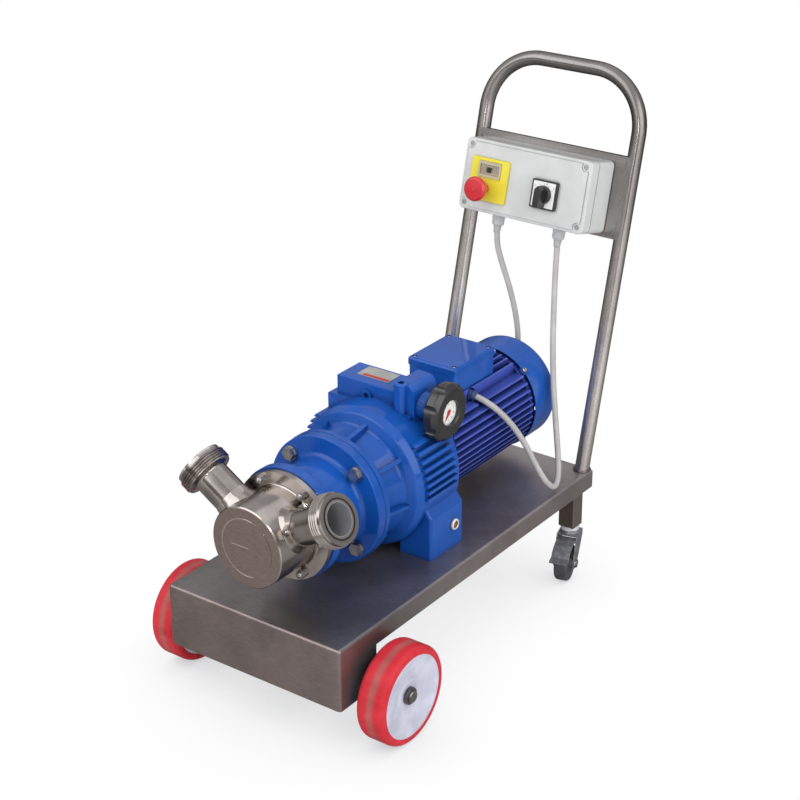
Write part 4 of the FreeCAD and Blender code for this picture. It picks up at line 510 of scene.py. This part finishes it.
paint_node(bright_zinc, "caster_heads")
paint_node(zinc, "caster_axle_left", "caster_axle_right", "body_nuts", "lantern_bolts",
           "foot_bolts")
paint_node(dark_steel, "caster_fork_left", "caster_fork_right", "brake_pedal_left", "brake_pedal_right")
paint_node(turned_steel, "front_axle", "control_shaft", "motor_rotor")
paint_node(brass, "oil_plugs")


# Small pieces that the solids leave out
def route(points):
    """Points given as (x, distance behind the deck's front edge, z), in millimetres."""
    return [Vector((x * mm, deck_front + y * mm, z * mm)) for x, y, z in points]


def on_handle(x, y, z):
    """Point on the leaning handle, from its place on the handle's slope in millimetres."""
    c = math.cos(handle_lean)
    s = math.sin(handle_lean)
    return handle_foot + Vector((x, y * c + z * s, z * c - y * s)) * mm


def frame_matrix(place, right, up):
    """Matrix whose X is right, whose Y is up and whose Z points out of the surface."""
    right = Vector(right).normalized()
    up = Vector(up).normalized()
    matrix = Matrix((right, up, right.cross(up))).transposed().to_4x4()
    matrix.translation = place
    return matrix


def handle_face(x, y, z):
    """Plane along the switch box's front, at a place on the handle's slope."""
    up = Vector((0, math.sin(handle_lean), math.cos(handle_lean)))
    return frame_matrix(on_handle(x, y, z), (1, 0, 0), up)


def add_piece(name, data, material, body):
    """Object of its own, with a material, that rides on a body."""
    obj = bpy.data.objects.new(name, data)
    bpy.context.collection.objects.link(obj)
    data.materials.append(material)
    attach(obj, body)
    return obj


def rounded_outline(width, height, corner, steps=5):
    """Rounded rectangle about the middle, in metres."""
    points = []
    for quarter, (sx, sy) in enumerate(((1, 1), (-1, 1), (-1, -1), (1, -1))):
        for i in range(steps + 1):
            a = math.radians(90 * quarter + 90 * i / steps)
            points.append((sx * (width / 2 - corner) + corner * math.cos(a),
                           sy * (height / 2 - corner) + corner * math.sin(a)))
    return points


def mesh_of(name, work):
    """Mesh with what a bmesh holds."""
    mesh = bpy.data.meshes.new(name)
    work.to_mesh(mesh)
    work.free()
    return mesh


def flat_piece(name, outlines, thickness, matrix, material, body):
    """Thin plate or print: one or more outlines, extruded outwards, with softened front edges."""
    work = bmesh.new()
    for outline in outlines:
        low = [work.verts.new((x, y, 0)) for x, y in outline]
        high = [work.verts.new((x, y, thickness)) for x, y in outline]
        work.faces.new(list(reversed(low)))
        top = work.faces.new(high)
        for i in range(len(outline)):
            j = (i + 1) % len(outline)
            work.faces.new((low[i], low[j], high[j], high[i]))
        bmesh.ops.bevel(work, geom=list(top.edges), offset=thickness * 0.4, segments=2, affect="EDGES")
    mesh = mesh_of(name, work)
    mesh.transform(matrix)
    add_piece(name, mesh, material, body)


def lathe_piece(name, profile, matrices, material, body):
    """Turned piece: (radius, height) in metres, once for each matrix, with its axis along local Z."""
    steps = 28
    circle = [(math.cos(2 * math.pi * i / steps), math.sin(2 * math.pi * i / steps)) for i in range(steps)]
    work = bmesh.new()
    for matrix in matrices:
        rings = []
        for radius, height in profile:
            if radius == 0:
                rings.append([work.verts.new(matrix @ Vector((0, 0, height)))] * steps)
                continue
            rings.append([work.verts.new(matrix @ Vector((radius * x, radius * y, height)))
                          for x, y in circle])
        for low, high in zip(rings, rings[1:]):
            for i in range(steps):
                j = (i + 1) % steps
                corners = list(dict.fromkeys((low[i], low[j], high[j], high[i])))
                if len(corners) > 2:
                    work.faces.new(corners)
    bmesh.ops.recalc_face_normals(work, faces=work.faces)
    mesh = mesh_of(name, work)
    for face in mesh.polygons:
        face.use_smooth = True
    add_piece(name, mesh, material, body)


def round_curve(name, kind, points, radius, resolution):
    """Curve with a round section and closed ends, and its one spline: (curve, spline)."""
    curve = bpy.data.curves.new(name, "CURVE")
    curve.dimensions = "3D"
    curve.bevel_depth = radius
    curve.bevel_resolution = resolution
    curve.use_fill_caps = True
    spline = curve.splines.new(kind)
    spline.points.add(len(points) - 1)
    for point, place in zip(spline.points, points):
        point.co = (*place, 1)
    return curve, spline


def weld_bead(name, points, radius, closed, material):
    """Weld with its row of ripples, along a line of points."""
    curve, spline = round_curve(name, "POLY", points, radius, 3)
    for i, point in enumerate(spline.points):
        point.radius = 0.82 + 0.2 * math.cos(math.pi * i) + 0.05 * math.sin(1.7 * i)
    spline.use_cyclic_u = closed
    add_piece(name, curve, material, "root")


def number(name, text, size, matrix, body):
    """Plain printed figure on a dial or a switch."""
    data = bpy.data.curves.new(name, "FONT")
    data.body = text
    data.size = size
    data.extrude = 0.00004
    data.align_x = "CENTER"
    data.align_y = "CENTER"
    obj = add_piece(name, data, print_black, body)
    obj.matrix_world = matrix


def bar(x0, y0, x1, y1, width):
    """Four corners of a straight mark."""
    along = Vector((x1 - x0, y1 - y0)).normalized()
    side = Vector((-along.y, along.x)) * width / 2
    return [(x0 - side.x, y0 - side.y), (x1 - side.x, y1 - side.y), (x1 + side.x, y1 + side.y),
            (x0 + side.x, y0 + side.y)]


def spoke(degrees, inner, outer, width):
    """Mark on a dial, from one radius to another, at an angle from upright."""
    a = math.radians(degrees)
    return bar(inner * math.sin(a), inner * math.cos(a), outer * math.sin(a), outer * math.cos(a), width)


def selector_face():
    """White face of the selector with its five marks and three numbers."""
    place = handle_face(selector_x, selector_front - 0.05, selector_z)
    flat_piece("selector_face", [rounded_outline(0.0425, 0.0425, 0.001)], 0.00022, place, white_plastic,
               "root")
    marks = [spoke(degrees, 0.0165, 0.0186, 0.0006) for degrees in (-60, -30, 0, 30, 60)]
    above = handle_face(selector_x, selector_front - 0.26, selector_z)
    flat_piece("selector_marks", marks, 0.00008, above, print_black, "root")
    for text, x, z in (("1", -17.8, 12.5), ("0", 4.5, 18.4), ("2", 17.8, 12.5)):
        number("selector_number_" + text, text, 0.0052,
               handle_face(selector_x + x, selector_front - 0.3, selector_z + z), "root")


def starter_window():
    """Panel inside the window of the starter switch, with its dark toggle and four ribs."""
    panel_y, ribs_y, toggle_y = -91.6, -92.1, -93.9
    flat_piece("starter_panel", [rounded_outline(0.0372, 0.0166, 0.0008)], 0.0006,
               handle_face(starter_x, panel_y, starter_z), window_plastic, "root")
    ribs = [bar(-0.0175, y, 0.0175, y, 0.0012) for y in (-0.0066, 0.0066)]
    ribs += [bar(x, -0.006, x, 0.006, 0.001) for x in (-0.0075, 0.0075)]
    flat_piece("starter_ribs", ribs, 0.0011, handle_face(starter_x, ribs_y, starter_z), beige_plastic,
               "root")
    flat_piece("starter_toggle", [rounded_outline(0.0088, 0.0088, 0.0008)], 0.0018,
               handle_face(starter_x, toggle_y, starter_z), black_plastic, "root")


def box_seam():
    """Dark ring in the seam between the base and the lid of the switch box."""
    place = handle_face(0, seam_y, box_z)
    half_thickness = 0.0005
    outer = rounded_outline(0.2463, 0.1223, 0.0092)
    inner = rounded_outline(0.2420, 0.1180, 0.0072)
    loops = ((outer, half_thickness), (inner, half_thickness), (inner, -half_thickness),
             (outer, -half_thickness))
    verts = [place @ Vector((x, y, z)) for loop, z in loops for x, y in loop]
    count = len(outer)
    faces = []
    for ring in range(len(loops)):
        here = ring * count
        after = (ring + 1) % len(loops) * count
        for i in range(count):
            j = (i + 1) % count
            faces.append((here + i, here + j, after + j, after + i))
    mesh = bpy.data.meshes.new("box_seam")
    mesh.from_pydata(verts, [], faces)
    mesh.update()
    add_piece("box_seam", mesh, rubber, "root")


def label_plate():
    """Bare plate on top of the speed control, with a red band along its front edge."""
    top = axis_z + 0.139
    front_edge = deck_front + 0.3435
    place = Vector((-0.0265, front_edge + 0.017, top))
    flat_piece("plain_plate", [rounded_outline(0.061, 0.034, 0.0015)], 0.0006,
               frame_matrix(place, (1, 0, 0), (0, 1, 0)), plate_grey, "root")
    band = Vector((-0.0225, front_edge + 0.0045, top + 0.0005))
    flat_piece("plain_plate_band", [rounded_outline(0.050, 0.007, 0.0004)], 0.0002,
               frame_matrix(band, (1, 0, 0), (0, 1, 0)), print_red, "root")


def dial_marks():
    """Forty marks, the numbers 0 to 9 and a red centre on the speed control's dial."""
    mark_count, number_count = 40, 10
    long_mark, short_mark, mark_end = 0.0168, 0.0180, 0.0196
    number_radius, centre_radius = 0.0138, 0.004
    place = frame_matrix(Vector((dial_x - 0.00002, control_y, control_z)), (0, 1, 0), (0, 0, 1))
    marks = [spoke(i * 360 / mark_count, short_mark if i % 4 else long_mark, mark_end, 0.00045)
             for i in range(mark_count)]
    flat_piece("dial_marks", marks, 0.00014, place, print_black, "root")
    for i in range(number_count):
        a = math.radians(i * 360 / number_count)
        at = Vector((dial_x + 0.0001, control_y + number_radius * math.sin(a),
                     control_z + number_radius * math.cos(a)))
        number(f"dial_number_{i}", str(i), 0.0046, frame_matrix(at, (0, 1, 0), (0, 0, 1)), "root")
    disc = [(centre_radius * math.cos(math.radians(a)), centre_radius * math.sin(math.radians(a)))
            for a in range(0, 360, 20)]
    flat_piece("dial_centre", [disc], 0.0001, place, print_red, "root")


def screws():
    """Recessed screws of the terminal lid, and the fan cover's four screws."""
    head = [(0, 0.0009), (0.0014, 0.0009), (0.0014, 0.0021), (0.0024, 0.0021), (0.0031, 0.0014),
            (0.0031, -0.001)]
    recess_floor = axis_z + 0.123 - 0.003
    places = [frame_matrix(Vector((x, deck_front + y, recess_floor)), (1, 0, 0), (0, 1, 0))
              for x in (-0.044, 0.034) for y in (0.483, 0.582)]
    lathe_piece("terminal_screws", head, places, zinc, "root")
    head = [(0, 0.0012), (0.0016, 0.0012), (0.0018, 0.0024), (0.0034, 0.0022), (0.0045, 0.001),
            (0.0045, -0.0008)]
    cover_middle = Vector((0, deck_front + 0.6485, axis_z))
    cover_radius = 0.0911
    places = []
    for degrees in (45, 135, 225, 315):
        a = math.radians(degrees)
        out = Vector((math.cos(a), 0, math.sin(a)))
        places.append(frame_matrix(cover_middle + out * cover_radius, out.cross(Vector((0, 1, 0))),
                                   (0, -1, 0)))
    lathe_piece("cover_screws", head, places, zinc, "root")


def level_rings():
    """Bright ring pressed round each level plug of the drive."""
    low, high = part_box("oil_plugs")
    y = (low[1] + high[1]) / 2
    z = (low[2] + high[2]) / 2
    places = [frame_matrix(Vector((x, y, z)), (0, side, 0), (0, 0, 1))
              for side, x in ((-1, low[0]), (1, high[0]))]
    profile = [(0.0060, -0.0012), (0.0060, 0.0004), (0.0066, 0.0010), (0.0084, 0.0008),
               (0.0094, -0.0004), (0.0094, -0.0034), (0.0088, -0.0034), (0.0088, -0.0012),
               (0.0060, -0.0012)]
    lathe_piece("level_rings", profile, places, bright_zinc, "root")


def welds():
    """Beads round the handle's feet and along the ends of the crossplate."""
    ring_points, ring_across, ring_along = 44, 0.0134, 0.0138
    line_points, line_step, line_y, line_inset = 18, 1.5, -12.2, 7.0
    for side, word in ((-1, "left"), (1, "right")):
        ring = []
        for i in range(ring_points):
            a = 2 * math.pi * i / ring_points
            ring.append(handle_foot + Vector((side * handle_reach + ring_across * math.cos(a),
                                              ring_along * math.sin(a), 0.0010)))
        weld_bead("handle_weld_" + word, ring, 0.0021, True, weld_steel)
        line_x = side * (handle_reach / mm - line_inset)
        for k, low in enumerate((405.0, 458.0, 511.0)):
            line = [on_handle(line_x, line_y, low + line_step * i) for i in range(line_points)]
            weld_bead(f"crossplate_weld_{word}_{k}", line, 0.0013, False, weld_steel)


def coil_tie():
    """Strap that holds the stored turns together, with its small head."""
    half_width, thickness = 0.0022, 0.0009
    a = math.radians(-62)
    out = Vector((math.cos(a), math.sin(a), 0))
    along = Vector((-out.y, out.x, 0))
    middle = route([(coil_x, coil_y, 201.6)])[0] + out * coil_radius * mm
    work = bmesh.new()
    rings = []
    for x, z in rounded_outline(0.0376, 0.0312, 0.006, 4):
        from_middle = out * x + Vector((0, 0, z))
        outward = from_middle.normalized() * thickness
        rings.append([work.verts.new(middle + from_middle + along * w + outward * t)
                      for w, t in ((-half_width, 0), (half_width, 0), (half_width, 1), (-half_width, 1))])
    for i, here in enumerate(rings):
        ahead = rings[(i + 1) % len(rings)]
        for k in range(4):
            j = (k + 1) % 4
            work.faces.new((here[k], here[j], ahead[j], ahead[k]))
    bmesh.ops.recalc_face_normals(work, faces=work.faces)
    add_piece("coil_tie", mesh_of("coil_tie", work), black_plastic, "root")
    top = middle + Vector((0, 0, 0.0158))
    flat_piece("coil_tie_head", [rounded_outline(0.007, 0.006, 0.001)], 0.0034,
               frame_matrix(top, out, along), black_plastic, "root")


def gland_sleeves():
    """Tapered rubber sleeve at the mouth of each cable gland."""
    profile = [(0.0049, 0.0), (0.0066, 0.0), (0.0066, 0.002), (0.0060, 0.007), (0.0054, 0.0115),
               (0.0049, 0.0118)]
    down = Vector((0, -math.sin(handle_lean), -math.cos(handle_lean)))
    places = [frame_matrix(on_handle(x, gland_depth, gland_mouth_rise + 0.3), (1, 0, 0),
                           down.cross(Vector((1, 0, 0)))) for x in (motor_gland_x, supply_gland_x)]
    lathe_piece("gland_sleeves", profile, places, cable_sheath, "root")


selector_face()
starter_window()
box_seam()
label_plate()
dial_marks()
screws()
level_rings()
welds()
coil_tie()
gland_sleeves()


# Cables
def cord_curve(name, points, radius, body):
    """Round cable on one smooth line, with the points as its control points."""
    curve, spline = round_curve(name, "NURBS", points, radius, 5)
    curve.resolution_u = 10
    spline.order_u = 3
    spline.use_endpoint_u = True
    obj = bpy.data.objects.new(name, curve)
    bpy.context.collection.objects.link(obj)
    curve.materials.append(cable_sheath)
    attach(obj, body)
    return obj


def motor_cable():
    """Motor cable from the switch box's right gland to the terminal box: (cable, where it starts)."""
    start = on_handle(motor_gland_x, gland_depth, gland_mouth_rise)
    middle = route([(60, 747, 545), (64, 738, 505), (72, 724, 455), (83, 706, 400), (97, 688, 345),
                    (114, 670, 292), (132, 651, 245), (149, 630, 208), (157, 606, 191), (151, 584, 212),
                    (136, 574, 246), (121, 565, 283), (106, 548, 320), (91, 529, 349), (77, 514, 367)])
    points = [start] + middle + [motor_gland]
    obj = cord_curve("motor_lead", points, cable_radius, "root")
    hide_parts("motor_cable")
    return obj, start


def coil_points():
    """Turns of the stored cable: three flat spirals on top of each other, joined by short rises."""
    layers = 3
    turns = 2.55
    pitch = 2 * cable_radius / mm
    inner = coil_radius - turns * pitch / 2
    outer = coil_radius + turns * pitch / 2
    steps = 16
    rise = 60.0
    points = []
    angle = 126.0
    z = deck_top / mm + pitch / 2
    # control points lie a little outside the smooth line that they make
    widen = 8 / (6 + 2 * math.cos(2 * math.pi / steps))

    def add(radius, degrees, height):
        a = math.radians(degrees)
        reach = radius * widen
        points.append((coil_x + reach * math.cos(a), coil_y + reach * math.sin(a), height))

    for layer in range(layers):
        start, end = (outer, inner) if layer % 2 == 0 else (inner, outer)
        count = round(turns * steps)
        for i in range(count + 1):
            add(start + (end - start) * i / count, angle + 360 * turns * i / count, z)
        angle += 360 * turns
        climb = pitch if layer < layers - 1 else pitch + 0.5
        add(end, angle + rise / 3, z + climb * 0.25)
        add(end, angle + rise * 2 / 3, z + climb * 0.75)
        angle += rise
        z += climb
    return route(points)


def supply_cable():
    """Supply cable from the left gland, over the coil, to its plug: (cable, where it starts)."""
    start = on_handle(supply_gland_x, gland_depth, gland_mouth_rise)
    hanging = route([(-60, 745, 545), (-48, 743, 513), (-33, 744, 475), (-20, 746, 430), (-12, 747, 382),
                     (-14, 745, 332), (-28, 740, 287), (-48, 733, 248), (-68, 723, 216),
                     (-89, 709.5, 197), (-111, 693.5, 191.4)])
    tail = route([(-136.5, 616, 221.5), (-135.5, 591, 222), (-135, 565, 220.4), (-134, 540, 217)])
    points = [start] + hanging + coil_points() + tail
    obj = cord_curve("supply_lead", points, cable_radius, "root")
    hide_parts("supply_cable", "supply_coil")
    return obj, start


def line_length(obj):
    """Length of a curve's smooth line."""
    bare = obj.data.copy()
    bare.bevel_depth = 0
    helper = bpy.data.objects.new("line", bare)
    mesh = bpy.data.meshes.new_from_object(helper)
    total = sum((mesh.vertices[e.vertices[0]].co - mesh.vertices[e.vertices[1]].co).length
                for e in mesh.edges)
    bpy.data.objects.remove(helper)
    return total


motor_lead, motor_exit = motor_cable()
supply_lead, supply_exit = supply_cable()
print("motor lead", line_length(motor_lead), "supply lead", line_length(supply_lead))


# Studio: a white floor with a painted soft contact shadow, a world seen by reflections, and soft lights
def emission(tree, color):
    """Shader that shows a colour as it is."""
    node = tree.nodes.new("ShaderNodeEmission")
    tree.links.new(color, node.inputs["Color"])
    return node.outputs["Emission"]


def either(tree, factor, first, second):
    """The first shader where the factor is 0, and the second where it is 1."""
    node = tree.nodes.new("ShaderNodeMixShader")
    for value, socket in zip((factor, first, second), node.inputs):
        tree.links.new(value, socket)
    return node.outputs["Shader"]


def floor_reflection(tree):
    """Colour of the floor in reflections: dark on the left and behind, and a painted shade under the
    trolley.
    """
    place = separate(tree, coordinates(tree))
    front = math_node(tree, "MULTIPLY_ADD", place["X"], 0.14,
                      math_node(tree, "MULTIPLY_ADD", place["Y"], -0.16, 0.5))
    mirrored = ramp(tree, front, [(0.15, (0.06, 0.055, 0.05)), (0.40, (0.20, 0.19, 0.18)),
                                  (0.52, (0.34, 0.325, 0.315)), (0.62, (0.50, 0.48, 0.47)),
                                  (0.76, (0.92, 0.91, 0.90))])
    across = math_node(tree, "ABSOLUTE", place["X"])
    along = math_node(tree, "ABSOLUTE", place["Y"])
    # Painted shade under the trolley in the floor's reflections.
    under = math_node(tree, "MULTIPLY", map_range(tree, across, 0.26, 0.15, smooth=True),
                      map_range(tree, along, 0.54, 0.42, smooth=True))
    return mix_color(tree, under, mirrored, (0.30, 0.28, 0.27), "MULTIPLY")


def floor():
    """White floor for the camera with a painted soft contact shadow, that reflections see darker."""
    size, shadow_reach = 9.0, 0.26
    corners = [(-size, -size, 0), (size, -size, 0), (size, size, 0), (-size, size, 0)]
    mesh = bpy.data.meshes.new("floor")
    mesh.from_pydata(corners, [], [(0, 1, 2, 3)])
    obj = bpy.data.objects.new("floor", mesh)
    bpy.context.collection.objects.link(obj)
    material, tree, shader = new_material("floor")
    set_values(shader, color=(0.82, 0.82, 0.82), roughness=0.9)
    # Painted shadow: the floor's colour for the camera darkens near the object.
    shade = ramp(tree, openness(tree, shadow_reach, 12), [(0.0, (0.44, 0.44, 0.45)),
                                                          (0.45, (0.84, 0.84, 0.85)), (0.90, white)])
    path = tree.nodes.new("ShaderNodeLightPath")
    seen = either(tree, path.outputs["Is Glossy Ray"], shader.outputs["BSDF"],
                  emission(tree, floor_reflection(tree)))
    seen = either(tree, path.outputs["Is Camera Ray"], seen, emission(tree, shade))
    tree.links.new(seen, tree.nodes["Material Output"].inputs["Surface"])
    mesh.materials.append(material)


def world():
    """White for the camera, a soft room for reflections and a soft sky for the light on the floor."""
    scene = bpy.context.scene
    scene.world = bpy.data.worlds.new("studio")
    scene.world.use_nodes = True
    tree = scene.world.node_tree
    background = tree.nodes["Background"]
    background.inputs["Strength"].default_value = 1.0
    path = tree.nodes.new("ShaderNodeLightPath")
    source = tree.nodes.new("ShaderNodeTexCoord")
    toward = separate(tree, source.outputs["Generated"])
    facing = math_node(tree, "MULTIPLY_ADD", toward["X"], -0.18,
                       math_node(tree, "MULTIPLY_ADD", toward["Y"], -0.46, 0.5))
    height = math_node(tree, "MULTIPLY_ADD", toward["Z"], 0.5, 0.5)
    room = ramp(tree, height, [(0.40, (0.20, 0.175, 0.155)), (0.56, (0.26, 0.235, 0.215)),
                               (0.70, (0.84, 0.84, 0.87)), (0.95, (0.66, 0.67, 0.69))])
    side = ramp(tree, facing, [(0.10, (0.74, 0.74, 0.76)), (0.45, (0.72, 0.70, 0.69)), (0.90, white)])
    room = mix_color(tree, 1.0, room, side, "MULTIPLY")
    soft = ramp(tree, height, [(0.50, (0.74, 0.74, 0.75)), (0.95, (0.46, 0.46, 0.47))])
    seen = mix_color(tree, path.outputs["Is Glossy Ray"], soft, room)
    seen = mix_color(tree, path.outputs["Is Camera Ray"], seen, white)
    tree.links.new(seen, background.inputs["Color"])


def area_light(name, place, target, size, power):
    """Rectangular light at a place, aimed at a target, with its size in metres and power in watts."""
    light = bpy.data.lights.new(name, "AREA")
    light.shape = "RECTANGLE"
    light.size = size[0]
    light.size_y = size[1]
    light.energy = power
    obj = bpy.data.objects.new(name, light)
    obj.location = place
    obj.rotation_euler = (Vector(target) - Vector(place)).to_track_quat("-Z", "Y").to_euler()
    bpy.context.collection.objects.link(obj)


def camera():
    """The photo's camera, solved on the deck, the wheels and the handle."""
    azimuth = math.radians(36.27)
    elevation = math.radians(25.17)
    roll = math.radians(-0.37)
    position = Vector((1.65964, deck_front - 1.88074, 1.71813))
    focal_pixels, photo_pixels, sensor_width = 1944.69, 800, 36
    back = Vector((math.sin(azimuth) * math.cos(elevation), -math.cos(azimuth) * math.cos(elevation),
                   math.sin(elevation)))
    level = Vector((math.cos(azimuth), math.sin(azimuth), 0))
    upright = back.cross(level)
    right = math.cos(roll) * level + math.sin(roll) * upright
    up = math.cos(roll) * upright - math.sin(roll) * level
    data = bpy.data.cameras.new("camera")
    data.sensor_width = sensor_width
    data.lens = focal_pixels / photo_pixels * sensor_width
    data.clip_end = 50
    obj = bpy.data.objects.new("camera", data)
    matrix = Matrix((right, up, back)).transposed().to_4x4()
    matrix.translation = position
    obj.matrix_world = matrix
    bpy.context.collection.objects.link(obj)
    bpy.context.scene.camera = obj


floor()
world()
area_light("key", (-1.2, -2.2, 2.6), (0, 0, 0.3), (3.0, 3.0), 48)
area_light("fill", (2.6, -0.6, 1.8), (0, 0, 0.4), (2.8, 2.8), 50)
area_light("glint", (0.9, -2.4, 1.5), (0, 0, 0.3), (0.18, 0.18), 9)
area_light("top", (0.2, 0.4, 2.8), (0, 0, 0.3), (3.0, 3.0), 14)
camera()
bpy.context.scene.view_settings.view_transform = "Standard"
